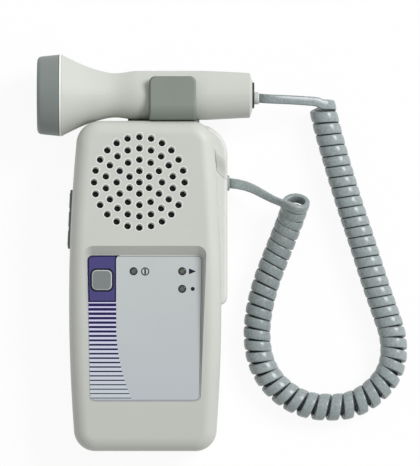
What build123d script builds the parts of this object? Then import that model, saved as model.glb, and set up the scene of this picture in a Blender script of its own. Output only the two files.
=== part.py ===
from build123d import *
import math
import os

os.makedirs("parts", exist_ok=True)

# Hand-held fetal doppler with its probe in the end clip. Millimetres.
# The unit lies on its back on z = 0: +X to the cord's side, +Y to the probe's end, +Z out of the front.

# ---- unit: outside form
unit_length = 139.7
half_width_top = 28.2  # side arc at the speaker end, before the corners are rounded
half_width_mid = 32.2
half_width_low = 29.5
widest_y = -3.0
corner_top = 10.0
corner_low = 9.0
split_z = 16.0  # parting plane between the two shells
face_fall = 4.0  # how far the face drops between the two slope ends
slope_over = 2.1  # slope's start, above the panel's top
slope_under = 1.4  # slope's end, below the panel's foot
face_bend = 250.0  # radius where the level face turns into the slope
face_edge = 6.0  # rounding of the front edge
back_edge = 3.5
wall = 2.2
floor_wall = 2.4
fit_gap = 0.2  # between a moving piece and its guide
snug_gap = 0.05  # between a fixed piece and its hole
run_in = 0.5  # how far a piece is sunk into the one that carries it
past = 1.0  # how far a cut runs past the face that it opens

# ---- side pod for the cord and the headphone socket
pod_x = 34.8
pod_in = 1.35  # its top, from the unit's end
pod_length = 76.6
pod_root_x = 0.0  # where its form ends, inside the unit
pod_corner = 13.0
pod_low_corner = 3.6
pod_least_corner = 0.5
pod_floor_z = 2.0
pod_edge = 1.5
pod_roof = 2.0
shoulder_z = 18.2  # the pod stands higher round the corner
shoulder_line = [(29.7, 12.15), (33.5, 15.15)]  # its lower edge: across, and from the unit's end

# ---- speaker and its grille
speaker_x = -2.45
speaker_in = 25.9  # its middle, from the unit's end
grille_rings = 4
grille_pitch = 4.78
grille_hole_r = 1.5
grille_rim_r = 1.8
speaker_r = 21.0
screen_thick = 0.35
gasket_thick = 0.8
gasket_width = 1.8
flange_thick = 0.8
flange_width = 2.8
basket_depth = 7.2
basket_foot_r = 12.5
basket_wall = 0.8
cone_wall = 0.4
cone_depth = 5.0
cone_foot_r = 5.0
cone_dome = 1.2
magnet_r = 11.0
magnet_depth = 6.0
magnet_edge = 0.5
ring_gap = 0.3  # between the speaker and its ring of the shell
ring_wall = 1.2
ring_depth = 4.3

# ---- control panel
panel_side = 5.05  # from the unit's lower half width to the label's edge at its top
panel_taper = 1.2  # how much narrower each side is at the label's foot
panel_under = 9.85  # from the speaker's edge to the label's top
panel_in = 21.2  # label's foot, from the unit's lower end
panel_corner = 2.2
panel_sink = 4.2  # label's seat, under the level face
panel_space = 5.8  # from the main board up to that seat
panel_gap = 0.1  # between the label and the foot of the recess wall
label_thick = 0.25
recess_side_lean = 1.5
recess_top_lean = 4.0
recess_mouth_corner = 4.0
pan_thick = 2.2
pan_margin = 2.2

# ---- power button and its switch
button_side = 6.15  # its middle, from the label's edge
button_drop = 10.5  # its middle, from the label's top
button_size = 8.5
button_corner = 2.1
button_proud = 0.75
button_dome = 0.5
button_travel = 0.6
button_flange = 0.8
button_lip = 0.8
button_cap_gap = 0.3
button_hole = button_size + 2 * button_cap_gap
nib_r = 1.5
nib_height = 0.15
switch_size = 6.0
switch_height = 1.4
actuator_r = 1.6
actuator_gap = 0.1  # left between nib and actuator when the button is down

# ---- lamps
lamp_r = 1.5
lamp_gap = 0.1
lamp_proud = 0.1
lamp_flange_r = 1.8
lamp_flange_height = 1.0
lamp_round = 0.4
power_lamp_x = -4.9
lamp_side = 8.8  # the other two, from the label's edge
lamp_drop = 6.8  # upper lamps, from the label's top
lamp_space = 7.45  # from the upper lamps down to the lower one

# ---- side keys, on the left wall of the front shell
key_under = 15.7  # middle key, below the speaker's middle
key_over = 4.8  # keys' middle, above the parting plane
key_count = 3
key_space = 1.5  # between two keys
key_length = 6.5
key_height = 3.6
key_corner = 0.8
key_edge = 0.35
key_proud = 0.2  # beyond the bezel
key_travel = 0.6
key_lip = 0.5
key_flange = 0.8
bezel_end = 1.25  # beyond the end keys
bezel_side = 1.4
bezel_corner = 1.0
bezel_edge = 0.3
bezel_proud = 0.9
bezel_lip = 0.8
bezel_flange = 0.8
bezel_seat = 0.2  # the wall is slightly curved there
key_switch_size = 4.6
key_switch_height = 1.0
key_actuator = 0.4
key_board_thick = 1.2
key_board_end = 1.0  # beyond the bezel
key_board_side = 0.8
key_fin = 1.5

# ---- main board
board_side = 0.5  # between the main board and the key board
board_over = 5.9  # beyond the label's top
board_under = 3.35  # beyond the label's foot
board_lift = 2.3  # over the battery
board_thick = 1.6
board_corner = 1.5
board_post_side = 3.0  # from the board's side, top and foot
board_post_top = 3.8
board_post_low = 5.6
board_post_r = 2.3
screw_r = 0.8
screw_head_r = 1.8
screw_head_height = 1.1
screw_bite = 3.0
pilot_spare = 0.4  # hole left beyond a screw's end
chip_height = 1.2
chips = [(2.0, 4.5, 10.0, 10.0), (-10.0, -6.5, 7.0, 5.0), (12.0, -12.5, 8.0, 8.0)]  # from the board's middle
capacitor_r = 2.0
capacitor_height = 3.0
capacitors = [(-16.0, -16.5), (-10.0, -22.5), (3.0, -24.5)]
speaker_plug_x = -4.0
speaker_plug_in = 2.4  # from the board's top
speaker_plug_size = (5.0, 4.0, 2.6)
battery_plug_over = 3.9  # from the well's end wall
battery_plug_size = (6.0, 5.0, 2.0)
wire_r = 0.5
wire_space = 1.8
speaker_wire = (2.6, 0.1, 1.6)  # first run, its rise, and the rise under the flange
speaker_wire_bend = 1.2
battery_wire = (0.6, 2.4)  # rise left for its second run, and that run's length
battery_wire_bend = 0.7

# ---- case screws and their bosses
case_screw_top = (6.7, 10.85)  # from the unit's side and end
case_screw_low = (5.6, 12.35)
case_boss_r = 4.0
case_bore_r = 2.7
case_bore_depth = 8.0
case_head_r = 2.4
case_head_height = 1.7
case_screw_r = 1.2
case_screw_reach = 8.0
front_boss_r = 3.0
boss_root = 0.8  # how far a boss runs into the wall that carries it

# ---- battery, its well and its door
battery_width = 26.5
battery_length = 46.0
battery_height = 17.5
battery_round = 1.5
battery_gap = 0.4
battery_end_gap = 1.2
battery_lift = 0.3
terminal_r = 2.9
terminal_length = 2.5
terminal_space = 12.7
snap_thick = 1.6
snap_low = 2.0
snap_high = 1.2
well_wall = 1.5
lead_room = 3.45  # between the snap and the well's end wall
door_half_width = 15.6
door_tongue = 1.8
door_skin = 1.1
door_plate = 1.2
door_end_gap = 1.1  # between the door and that wall
door_lip_height = 9.0
door_lip_wall = 2.0
rail_thick = 1.5
rail_width = 2.0
grip_ribs = 4
grip_pitch = 2.4
grip_width = 1.0
grip_depth = 0.5
grip_length = 16.0
grip_in = 13.85  # from the unit's end

# ---- headphone socket, in the left wall where the unit is widest
jack_z = 9.0
jack_nose_r = 3.0
jack_bore_r = 1.8
jack_bore_depth = 13.0
jack_body = (11.0, 7.5, 5.5)
jack_drop = 0.5  # body's middle, under the bore
jack_nose_root = 1.0

# ---- cord gland
gland_in = 26.15  # from the unit's end
gland_z = 9.6
gland_width = 5.4
gland_height = 3.8
gland_lip = 0.6
gland_flange = 0.9
gland_edge = 0.4

# ---- probe
probe_gap = 0.55  # between its handle and the unit's end
probe_lift = 0.7  # of its widest edge, over the table
probe_wall = 1.8
face_x = -45.8
face_back_r = 17.3
face_taper = 1.0
face_depth = 9.5
face_edge_r = 2.0
face_wall = 1.5
face_front = 1.4
spigot_depth = 0.9
probe_lip = 1.0
neck_points = [(-24.2, 12.0), (-18.6, 10.3), (-13.6, 9.4), (-8.6, 9.75)]
neck_ends = [(1, -0.47), (1, 0.02)]  # directions at the head and at the handle
head_x = -34.6
head_taper = 0.5
handle_x = -3.4
handle_r = 10.4
tail_x = 26.0
tail_end_x = 44.2
tail_r = 9.5
probe_end_x = 45.3
probe_end_r = 6.2
plug_r = 5.6
plug_neck_r = 4.6
plug_thick = 0.9
plug_edge = 0.5
collar_shift = 1.2  # off the probe's axis, towards the unit
collar_r = 2.6
collar_length = 2.0
collar_edge = 0.5
crystal_in = 1.9  # from the backing's edge
crystal_thick = 1.0
crystal_space = 1.0
backing_gap = 0.55  # inside the face's wall
backing_thick = 4.0
probe_board_half = 8.2
probe_board_thick = 1.2
probe_board_ends = (-4.0, 26.0)

# ---- probe clip at the unit's end
clip_gap = 0.3
clip_inner_r = handle_r + clip_gap
clip_wall = 2.2
flap_left = 1.7
flap_right = 21.5
flap_reach = 7.9  # beyond the probe's axis
flap_thick = 2.4
flap_corner = 2.5
flap_round = 0.9
flap_root = 7.5  # its foot, over the probe's axis
arm_left = -7.4
arm_right = 22.9
arm_reach = 7.2
arm_thick = 2.4
arm_top = 2.0
pocket_gap = 0.15
pad_wall = 2.2
pad_margin = 2.0
pad_drop = 2.0  # its top, under the ceiling
clip_screw_x = (1.5, 14.0)
clip_screw_drop = 7.0  # under the probe's axis
clip_boss_r = 2.4
clip_pilot_depth = 3.4
clip_head_r = 3.4
clip_head_height = 1.2

# ---- cord: flat leads and the curly part, each a plain tube
lead_r = 1.7
curl_r = 5.6
arc_share = 0.45  # part of the shorter run that a corner's arc takes up
unit_lead_points = [
    (35.7, 43.6, 9.6),
    (39.4, 43.6, 9.6),
    (45.6, 41.8, 10.2),
    (53.2, 37.4, 11.1),
    (59.6, 32.6, 12.1),
]
curl_points = [
    (76.4, 71.8, 5.8),
    (80.6, 57.6, 5.7),
    (86.2, 38.6, 5.7),
    (92.2, 19.2, 5.7),
    (98.5, 0.4, 5.7),
    (102.8, -12.0, 5.7),
    (107.7, -25.2, 5.7),
    (106.4, -36.8, 5.7),
    (100.1, -46.6, 5.7),
    (90.1, -52.7, 5.7),
    (80.5, -53.9, 5.7),
    (70.2, -53.2, 5.7),
    (57.9, -47.2, 5.7),
    (49.6, -36.5, 5.7),
    (46.7, -23.2, 5.7),
    (47.4, -10.5, 5.7),
    (51.0, 2.4, 5.7),
    (56.2, 15.2, 5.8),
    (59.4, 23.0, 6.6),
    (62.0, 29.6, 9.4),
    (64.6, 35.0, 13.6),
]
probe_lead_points = [
    (48.2, 79.6, 18.0),
    (53.0, 79.6, 18.0),
    (62.0, 79.2, 14.8),
    (70.0, 79.1, 10.9),
    (77.2, 79.2, 8.2),
    (79.0, 72.9, 7.4),
]

# ---- worked-out places
unit_end_y = unit_length / 2
door_top_z = door_skin + door_plate
battery_z = door_top_z + battery_lift
board_z = battery_z + battery_height + board_lift
board_top_z = board_z + board_thick
panel_floor_z = board_top_z + panel_space
face_z = panel_floor_z + panel_sink
speaker_y = unit_end_y - speaker_in
panel_top_y = speaker_y - speaker_r - panel_under
panel_low_y = panel_in - unit_end_y
panel_half_width = half_width_low - panel_side
slope_top_y = panel_top_y + slope_over
slope_low_y = panel_low_y - slope_under
pod_top_y = unit_end_y - pod_in
pod_low_y = pod_top_y - pod_length
gland_y = unit_end_y - gland_in
jack_y = widest_y
button_x = button_side - panel_half_width
button_y = panel_top_y - button_drop
power_lamp = (power_lamp_x, panel_top_y - lamp_drop)
play_lamp = (panel_half_width - lamp_side, panel_top_y - lamp_drop)
record_lamp = (panel_half_width - lamp_side, panel_top_y - lamp_drop - lamp_space)
key_y = speaker_y - key_under
key_z = split_z + key_over
key_pitch = key_length + key_space
bezel_length = (key_count - 1) * key_pitch + key_length + 2 * bezel_end
bezel_height = key_height + 2 * bezel_side
key_board_length = bezel_length + 2 * key_board_end
key_board_height = bezel_height + 2 * key_board_side
board_top_y = panel_top_y + board_over
board_low_y = panel_low_y - board_under
board_mid_y = (board_top_y + board_low_y) / 2
speaker_plug = (speaker_plug_x, board_top_y - speaker_plug_in)
case_top_spot = (half_width_top - case_screw_top[0], unit_end_y - case_screw_top[1])
case_low_spot = (half_width_low - case_screw_low[0], case_screw_low[1] - unit_end_y)
ceiling_z = face_z - wall
gasket_z = ceiling_z - screen_thick - gasket_thick
flange_z = gasket_z - flange_thick
basket_z = flange_z - basket_depth
pan_z = panel_floor_z - pan_thick
battery_low_y = -unit_end_y + wall + battery_end_gap
battery_top_y = battery_low_y + battery_length
snap_y = battery_top_y + terminal_length
well_end_y = snap_y + snap_thick + lead_room
door_end_y = well_end_y - door_end_gap
grip_y = grip_in - unit_end_y
battery_plug = (0, well_end_y + battery_plug_over)
well_half = battery_width / 2 + battery_gap
slot_half = door_half_width + fit_gap
tongue_half = slot_half + door_tongue
probe_y = unit_end_y + handle_r + probe_gap
probe_z = face_back_r + probe_lift
collar_y = probe_y - collar_shift
face_front_r = face_back_r - face_taper
head_r = face_back_r - head_taper
spigot_r = face_back_r - probe_wall - snug_gap
backing_r = spigot_r - face_wall - backing_gap
crystal_r = backing_r - crystal_in
flap_end_y = probe_y + flap_reach
flap_root_z = probe_z + flap_root
arm_end_y = probe_y + arm_reach
arm_top_z = probe_z + arm_top
clip_screw_z = probe_z - clip_screw_drop
clip_back_y = probe_y - clip_inner_r - clip_wall
flap_low_z = probe_z + clip_inner_r
flap_top_z = flap_low_z + flap_thick
arm_high_z = probe_z - clip_inner_r
arm_low_z = arm_high_z - arm_thick
pad_y = clip_back_y - pocket_gap - pad_wall
plug_x = probe_end_x + plug_thick
face_back_x = face_x + face_depth
jack_low_z = jack_z - jack_drop - jack_body[2] / 2


def face_height(y):
    slope = face_fall / (slope_top_y - slope_low_y)
    return face_z - max(0.0, slope_top_y - y) * slope


def circle_through(a, b, c):
    """Centre and radius of the circle through three points."""
    d = 2 * (a[0] * (b[1] - c[1]) + b[0] * (c[1] - a[1]) + c[0] * (a[1] - b[1]))
    sa, sb, sc = (p[0] ** 2 + p[1] ** 2 for p in (a, b, c))
    x = (sa * (b[1] - c[1]) + sb * (c[1] - a[1]) + sc * (a[1] - b[1])) / d
    y = (sa * (c[0] - b[0]) + sb * (a[0] - c[0]) + sc * (b[0] - a[0])) / d
    return x, y, math.hypot(a[0] - x, a[1] - y)


side_x, side_y, side_r = circle_through(
    (half_width_top, unit_end_y), (half_width_mid, widest_y), (half_width_low, -unit_end_y)
)


def half_width_at(y):
    return side_x + math.sqrt(side_r**2 - (y - side_y) ** 2)


def unit_outline(inset):
    """Plan outline of the unit, drawn inside it by inset."""
    top_y = unit_end_y - inset
    with BuildSketch() as plan:
        with BuildLine():
            right = ThreePointArc(
                (half_width_top - inset, top_y),
                (half_width_mid - inset, widest_y),
                (half_width_low - inset, -top_y),
            )
            low = Line(right @ 1, (inset - half_width_low, -top_y))
            left = ThreePointArc(low @ 1, (inset - half_width_mid, widest_y), (inset - half_width_top, top_y))
            Line(left @ 1, right @ 0)
        make_face()
        fillet(plan.vertices().group_by(Axis.Y)[-1], corner_top - inset)
        fillet(plan.vertices().group_by(Axis.Y)[0], corner_low - inset)
    return plan.sketch


def front_form(inset, base_z):
    """Upper half of the unit's form, with the sloping face and its rounded edge."""
    top = face_z - inset
    low = face_height(-unit_length) - inset
    with BuildPart() as form:
        with BuildSketch(Plane.XY.offset(base_z)):
            add(unit_outline(inset))
        extrude(amount=face_z)
        with BuildSketch(Plane.YZ):
            with BuildLine():
                bend = FilletPolyline(
                    (unit_length, top), (slope_top_y, top), (-unit_length, low), radius=face_bend
                )
                Polyline(bend @ 1, (-unit_length, base_z), (unit_length, base_z), bend @ 0)
            make_face()
        extrude(amount=unit_length, both=True, mode=Mode.INTERSECT)
        high = form.edges().filter_by(lambda e: e.bounding_box().min.Z > low)
        seams = high.filter_by(Axis.X).filter_by(lambda e: abs(e.center().Y) < unit_end_y - corner_top)
        fillet([e for e in high if e not in seams], face_edge - inset)
    return form.part


def rear_form(inset, base_z, top_z, edge):
    """Lower half of the unit's form, with its rounded back edge."""
    with BuildPart() as form:
        with BuildSketch(Plane.XY.offset(base_z)):
            add(unit_outline(inset))
        extrude(amount=top_z - base_z)
        fillet(form.edges().group_by(Axis.Z)[0], edge)
    return form.part


def pod_form(inset, base_z, top_z, edge):
    """Side pod, drawn inside its outline by inset."""
    with BuildPart() as form:
        with BuildSketch(Plane.XY.offset(base_z)) as plan:
            with BuildLine():
                Polyline(
                    (pod_root_x, pod_top_y - inset),
                    (pod_x - inset, pod_top_y - inset),
                    (pod_x - inset, pod_low_y + inset),
                    (pod_root_x, pod_low_y + inset),
                    close=True,
                )
            make_face()
            outer = plan.vertices().group_by(Axis.X)[-1].sort_by(Axis.Y)
            fillet(outer[1], pod_corner - inset)
            outer = plan.vertices().group_by(Axis.X)[-1].sort_by(Axis.Y)
            fillet(outer[0], max(pod_low_corner - inset, pod_least_corner))
        extrude(amount=top_z - base_z)
        if edge:
            ends = form.edges().group_by(Axis.Z)
            rims = [e for e in ends[0] + ends[-1] if e.center().X > pod_x / 2]
            fillet(rims, edge)
    return form.part


def block(x0, x1, y0, y1, z0, z1):
    """A plain block between two corners."""
    with BuildPart() as form:
        with BuildSketch(Plane.XY.offset(z0)):
            with Locations(((x0 + x1) / 2, (y0 + y1) / 2)):
                Rectangle(x1 - x0, y1 - y0)
        extrude(amount=z1 - z0)
    return form.part


def cord_tube(points, radius):
    """Straight runs joined by tangent arcs, as large as the shorter run of each corner allows."""
    spots = [Vector(*p) for p in points]
    runs = [b - a for a, b in zip(spots, spots[1:])]
    radii = []
    for before, after in zip(runs, runs[1:]):
        turn = math.radians(before.get_angle(after))
        radii.append(arc_share * min(before.length, after.length) / math.tan(turn / 2))
    with BuildPart() as tube:
        with BuildLine() as route:
            FilletPolyline(*spots, radius=radii)
        with BuildSketch(Plane(origin=spots[0], z_dir=runs[0])):
            Circle(radius)
        sweep(path=route.wires()[0])
    length = route.wires()[0].length
    share = tube.part.volume / (math.pi * radius**2 * length)
    print("radii", [round(r, 1) for r in radii], "length", round(length, 1), "volume share", round(share, 4))
    return tube.part


# side keys: depths are counted inwards from the wall's outer face
bezel_back = wall + bezel_seat + bezel_flange
key_flange_back = bezel_back + fit_gap + key_flange
key_actuator_top = key_flange_back + key_travel + actuator_gap
key_switch_top = key_actuator_top + key_actuator
key_board_top = key_switch_top + key_switch_height
key_board_back = key_board_top + key_board_thick
board_half_width = half_width_at(key_y) - key_board_back - board_side
board_post_x = board_half_width - board_post_side

key_turn = math.asin((key_y - side_y) / side_r)
key_out = (-math.cos(key_turn), math.sin(key_turn), 0)
key_plane = Plane(
    origin=(-half_width_at(key_y), key_y, key_z),
    x_dir=(math.sin(key_turn), math.cos(key_turn), 0),
    z_dir=key_out,
)
key_spots = [((i - (key_count - 1) / 2) * key_pitch, 0) for i in range(key_count)]
case_spots = [(side * x, y) for x, y in (case_top_spot, case_low_spot) for side in (-1, 1)]
post_rows = (board_top_y - board_post_top, board_low_y + board_post_low)
board_spots = [(side * board_post_x, y) for y in post_rows for side in (-1, 1)]
lamp_spots = [power_lamp, play_lamp, record_lamp]

# ---- front shell
front_outer = front_form(0, split_z)
front_inner = front_form(wall, split_z - wall)

with BuildPart() as panel_pan:
    add(
        block(
            -panel_half_width - recess_side_lean - pan_margin,
            panel_half_width + recess_side_lean + pan_margin,
            panel_low_y - pan_margin,
            panel_top_y + recess_top_lean + pan_margin,
            pan_z,
            face_z,
        )
    )
    add(front_outer, mode=Mode.INTERSECT)


def panel_outline(side, low, top, corner):
    """The label's outline, wider by side and longer by low and top, with that corner radius."""
    half = panel_half_width + side
    low_y = panel_low_y - low
    top_y = panel_top_y + top
    with BuildSketch() as outline:
        with BuildLine():
            Polyline(
                (half, top_y),
                (-half, top_y),
                (panel_taper - half, low_y),
                (half - panel_taper, low_y),
                close=True,
            )
        make_face()
        fillet(outline.vertices(), corner)
    return outline.sketch


with BuildPart() as panel_recess:
    with BuildSketch(Plane.XY.offset(panel_floor_z)):
        add(panel_outline(panel_gap, panel_gap, panel_gap, panel_corner))
    with BuildSketch(Plane.XY.offset(face_z + panel_gap)):
        add(
            panel_outline(
                panel_gap + recess_side_lean,
                panel_gap,
                panel_gap + recess_top_lean,
                recess_mouth_corner,
            )
        )
    loft()

with BuildPart() as front_pad:
    add(
        block(
            arm_left - pad_margin,
            arm_right + pad_margin,
            pad_y,
            unit_end_y - wall + boss_root,
            split_z,
            ceiling_z - pad_drop,
        )
    )
    add(front_outer, mode=Mode.INTERSECT)

with BuildPart() as front_shell:
    add(front_outer)
    add(front_inner, mode=Mode.SUBTRACT)
    add(panel_pan.part)
    with BuildSketch(Plane.XY.offset(ceiling_z + boss_root)):
        with Locations((speaker_x, speaker_y)):
            Circle(speaker_r + ring_gap + ring_wall)
            Circle(speaker_r + ring_gap, mode=Mode.SUBTRACT)
    extrude(amount=-ring_depth - boss_root)
    for x, y in case_spots:
        with BuildSketch(Plane.XY.offset(split_z)):
            with Locations((x, y)):
                Circle(front_boss_r)
        extrude(amount=face_height(y) - wall + boss_root - split_z)
    with BuildSketch(Plane.XY.offset(board_top_z)):
        with Locations(*board_spots):
            Circle(board_post_r)
    extrude(amount=pan_z + boss_root - board_top_z)
    with BuildSketch(key_plane.offset(-wall + boss_root)):
        with Locations(*[(side * (key_board_length + key_fin) / 2, 0) for side in (-1, 1)]):
            Rectangle(key_fin, key_board_height)
    extrude(amount=wall - boss_root - key_board_back)
    add(front_pad.part)
    with BuildSketch(Plane.XY.offset(ceiling_z)):
        with Locations((speaker_x, speaker_y)):
            Circle(speaker_r + ring_gap)
    extrude(amount=flange_z - ceiling_z, mode=Mode.SUBTRACT)
    add(panel_recess.part, mode=Mode.SUBTRACT)
    with Locations((speaker_x, speaker_y, face_z)):
        CounterSinkHole(grille_hole_r, grille_rim_r, depth=2 * wall, counter_sink_angle=90)
    for ring in range(1, grille_rings + 1):
        with Locations((speaker_x, speaker_y, face_z)):
            with PolarLocations(ring * grille_pitch, 6 * ring, start_angle=90):
                CounterSinkHole(grille_hole_r, grille_rim_r, depth=2 * wall, counter_sink_angle=90)
    with BuildSketch(Plane.XY.offset(panel_floor_z)):
        with Locations(*lamp_spots):
            Circle(lamp_r + lamp_gap)
        with Locations((button_x, button_y)):
            RectangleRounded(button_hole, button_hole, button_corner)
    extrude(amount=-2 * pan_thick, mode=Mode.SUBTRACT)
    with BuildSketch(key_plane.offset(bezel_proud)):
        RectangleRounded(bezel_length + 2 * snug_gap, bezel_height + 2 * snug_gap, bezel_corner)
    extrude(amount=-2 * wall, mode=Mode.SUBTRACT)
    with BuildSketch(Plane.XY.offset(split_z)):
        with Locations(*case_spots):
            Circle(case_screw_r + snug_gap)
    extrude(amount=case_screw_reach + pilot_spare, mode=Mode.SUBTRACT)
    with BuildSketch(Plane.XY.offset(board_top_z)):
        with Locations(*board_spots):
            Circle(screw_r + snug_gap)
    extrude(amount=screw_bite + pilot_spare, mode=Mode.SUBTRACT)
    pocket_y = clip_back_y - pocket_gap
    add(
        block(
            arm_left - pocket_gap,
            arm_right + pocket_gap,
            pocket_y,
            unit_end_y + past,
            split_z - past,
            arm_top_z + pocket_gap,
        ),
        mode=Mode.SUBTRACT,
    )
    add(
        block(
            flap_left - pocket_gap,
            flap_right + pocket_gap,
            pocket_y,
            unit_end_y + past,
            split_z - past,
            flap_root_z + pocket_gap,
        ),
        mode=Mode.SUBTRACT,
    )
front_shell.part.label = "front_shell"
export_step(front_shell.part, "parts/front_shell.step")

# ---- rear shell
with BuildPart() as pod_shoulder:
    (x0, y0), (x1, y1) = [(x, unit_end_y - y) for x, y in shoulder_line]
    fall = (y1 - y0) / (x1 - x0)
    add(pod_form(0, split_z - 2 * pod_edge, shoulder_z, pod_edge))
    with BuildSketch():
        with BuildLine():
            Polyline(
                (0, y0 - fall * x0),
                (unit_length, y0 + fall * (unit_length - x0)),
                (unit_length, unit_length),
                (0, unit_length),
                close=True,
            )
        make_face()
    extrude(amount=face_z, mode=Mode.INTERSECT)
    add(front_outer, mode=Mode.SUBTRACT)

with BuildPart() as rear_outer:
    add(rear_form(0, 0, split_z, back_edge))
    add(pod_form(0, pod_floor_z, split_z, pod_edge))

with BuildPart() as rear_pad:
    add(
        block(
            arm_left - pad_margin,
            arm_right + pad_margin,
            pad_y,
            unit_end_y - wall + boss_root,
            floor_wall - run_in,
            split_z,
        )
    )
    add(rear_outer.part, mode=Mode.INTERSECT)

with BuildPart() as rear_shell:
    add(rear_outer.part)
    add(pod_shoulder.part)
    add(rear_form(wall, floor_wall, split_z + wall, back_edge - wall), mode=Mode.SUBTRACT)
    add(
        pod_form(wall, pod_floor_z + wall, split_z - pod_roof, 0),
        mode=Mode.SUBTRACT,
    )
    # battery well and the rails of its door
    for side in (-1, 1):
        spans = [
            (well_half, well_half + well_wall, door_top_z + fit_gap, split_z),
            (well_half, tongue_half + rail_width, door_top_z + fit_gap, door_top_z + fit_gap + rail_thick),
            (tongue_half, tongue_half + rail_width, floor_wall - run_in, door_top_z + fit_gap + rail_thick),
        ]
        for near, far, low, high in spans:
            xs = sorted((side * near, side * far))
            add(block(xs[0], xs[1], -unit_end_y + wall - run_in, well_end_y + well_wall, low, high))
    add(
        block(
            -tongue_half - rail_width,
            tongue_half + rail_width,
            well_end_y,
            well_end_y + well_wall,
            floor_wall - run_in,
            split_z,
        )
    )
    # screw bosses, the clip's pad and the socket's shelf
    for x, y in case_spots:
        with BuildSketch(Plane.XY.offset(floor_wall - run_in)):
            with Locations((x, y)):
                Circle(case_boss_r)
        extrude(amount=split_z - floor_wall + run_in)
    add(rear_pad.part)
    add(
        block(
            wall - half_width_mid - run_in,
            wall - half_width_mid + jack_body[0],
            jack_y - jack_body[1] / 2,
            jack_y + jack_body[1] / 2,
            floor_wall - run_in,
            jack_low_z,
        )
    )
    # door opening: slot for its skin, wider channel for its tongues, notch for its end lip
    slot_end_y = door_end_y + fit_gap
    slot_top_z = door_top_z + fit_gap
    add(block(-slot_half, slot_half, -unit_length, slot_end_y, -past, slot_top_z), mode=Mode.SUBTRACT)
    add(
        block(-tongue_half, tongue_half, -unit_length, slot_end_y, door_skin, slot_top_z),
        mode=Mode.SUBTRACT,
    )
    add(
        block(
            -tongue_half,
            tongue_half,
            -unit_length,
            -unit_end_y + wall + fit_gap,
            -past,
            door_lip_height + fit_gap,
        ),
        mode=Mode.SUBTRACT,
    )
    with BuildSketch(Plane.XY.offset(-past)):
        with Locations(*case_spots):
            Circle(case_bore_r)
    extrude(amount=case_bore_depth + past, mode=Mode.SUBTRACT)
    with BuildSketch(Plane.XY.offset(-past)):
        with Locations(*case_spots):
            Circle(case_screw_r + fit_gap)
    extrude(amount=split_z + 2 * past, mode=Mode.SUBTRACT)
    add(
        block(
            arm_left - pocket_gap,
            arm_right + pocket_gap,
            pocket_y,
            unit_end_y + past,
            arm_low_z - pocket_gap,
            split_z + past,
        ),
        mode=Mode.SUBTRACT,
    )
    with BuildSketch(Plane.XZ.offset(-pad_y + past)):
        with Locations(*[(x, clip_screw_z) for x in clip_screw_x]):
            Circle(clip_boss_r + snug_gap)
    extrude(amount=-pad_wall - pocket_gap - 2 * past, mode=Mode.SUBTRACT)
    with BuildSketch(Plane.YZ.offset(pod_x + past)):
        with Locations((gland_y, gland_z)):
            SlotOverall(gland_width, gland_height)
    extrude(amount=-wall - 2 * past, mode=Mode.SUBTRACT)
    with BuildSketch(Plane.YZ.offset(-half_width_mid - past)):
        with Locations((jack_y, jack_z)):
            Circle(jack_nose_r + snug_gap)
    extrude(amount=wall + 2 * past, mode=Mode.SUBTRACT)
rear_shell.part.label = "rear_shell"
export_step(rear_shell.part, "parts/rear_shell.step")

# ---- front label: a printed sheet in the recess, with windows for the lamps and the button
with BuildPart() as front_label:
    with BuildSketch(Plane.XY.offset(panel_floor_z)):
        add(panel_outline(0, 0, 0, panel_corner))
        with Locations(*lamp_spots):
            Circle(lamp_r + lamp_gap, mode=Mode.SUBTRACT)
        with Locations((button_x, button_y)):
            RectangleRounded(button_hole, button_hole, button_corner, mode=Mode.SUBTRACT)
    extrude(amount=label_thick)
front_label.part.label = "front_label"
export_step(front_label.part, "parts/front_label.step")

# ---- speaker
with BuildPart() as speaker_dust_screen:
    with BuildSketch(Plane.XY.offset(ceiling_z - screen_thick)):
        with Locations((speaker_x, speaker_y)):
            Circle(speaker_r)
    extrude(amount=screen_thick)
speaker_dust_screen.part.label = "speaker_dust_screen"
export_step(speaker_dust_screen.part, "parts/speaker_dust_screen.step")

with BuildPart() as speaker_gasket:
    with BuildSketch(Plane.XY.offset(gasket_z)):
        with Locations((speaker_x, speaker_y)):
            Circle(speaker_r)
            Circle(speaker_r - gasket_width, mode=Mode.SUBTRACT)
    extrude(amount=gasket_thick)
speaker_gasket.part.label = "speaker_gasket"
export_step(speaker_gasket.part, "parts/speaker_gasket.step")

speaker_plane = Plane(origin=(speaker_x, speaker_y, 0), x_dir=(1, 0, 0), z_dir=(0, -1, 0))
speaker_axis = Axis((speaker_x, speaker_y, 0), (0, 0, 1))
basket_top_r = speaker_r - flange_width

with BuildPart() as speaker_frame:
    with BuildSketch(speaker_plane):
        with BuildLine():
            Polyline(
                (basket_top_r, gasket_z),
                (speaker_r, gasket_z),
                (speaker_r, flange_z),
                (basket_top_r + basket_wall, flange_z),
                (basket_foot_r + basket_wall, basket_z),
                (cone_foot_r, basket_z),
                (cone_foot_r, basket_z + basket_wall),
                (basket_foot_r, basket_z + basket_wall),
                close=True,
            )
        make_face()
    revolve(axis=speaker_axis)
speaker_frame.part.label = "speaker_frame"
export_step(speaker_frame.part, "parts/speaker_frame.step")

with BuildPart() as speaker_cone:
    rim_out = speaker_r - gasket_width - fit_gap
    rim_in = basket_top_r - fit_gap
    foot_z = gasket_z - cone_depth
    with BuildSketch(speaker_plane):
        with BuildLine():
            Polyline(
                (rim_out, gasket_z),
                (rim_out, gasket_z + cone_wall),
                (rim_in, gasket_z + cone_wall),
                (cone_foot_r, foot_z + cone_wall),
                (0, foot_z + cone_wall + cone_dome),
                (0, foot_z + cone_dome),
                (cone_foot_r, foot_z),
                (rim_in - cone_wall, gasket_z),
                close=True,
            )
        make_face()
    revolve(axis=speaker_axis)
speaker_cone.part.label = "speaker_cone"
export_step(speaker_cone.part, "parts/speaker_cone.step")

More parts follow.
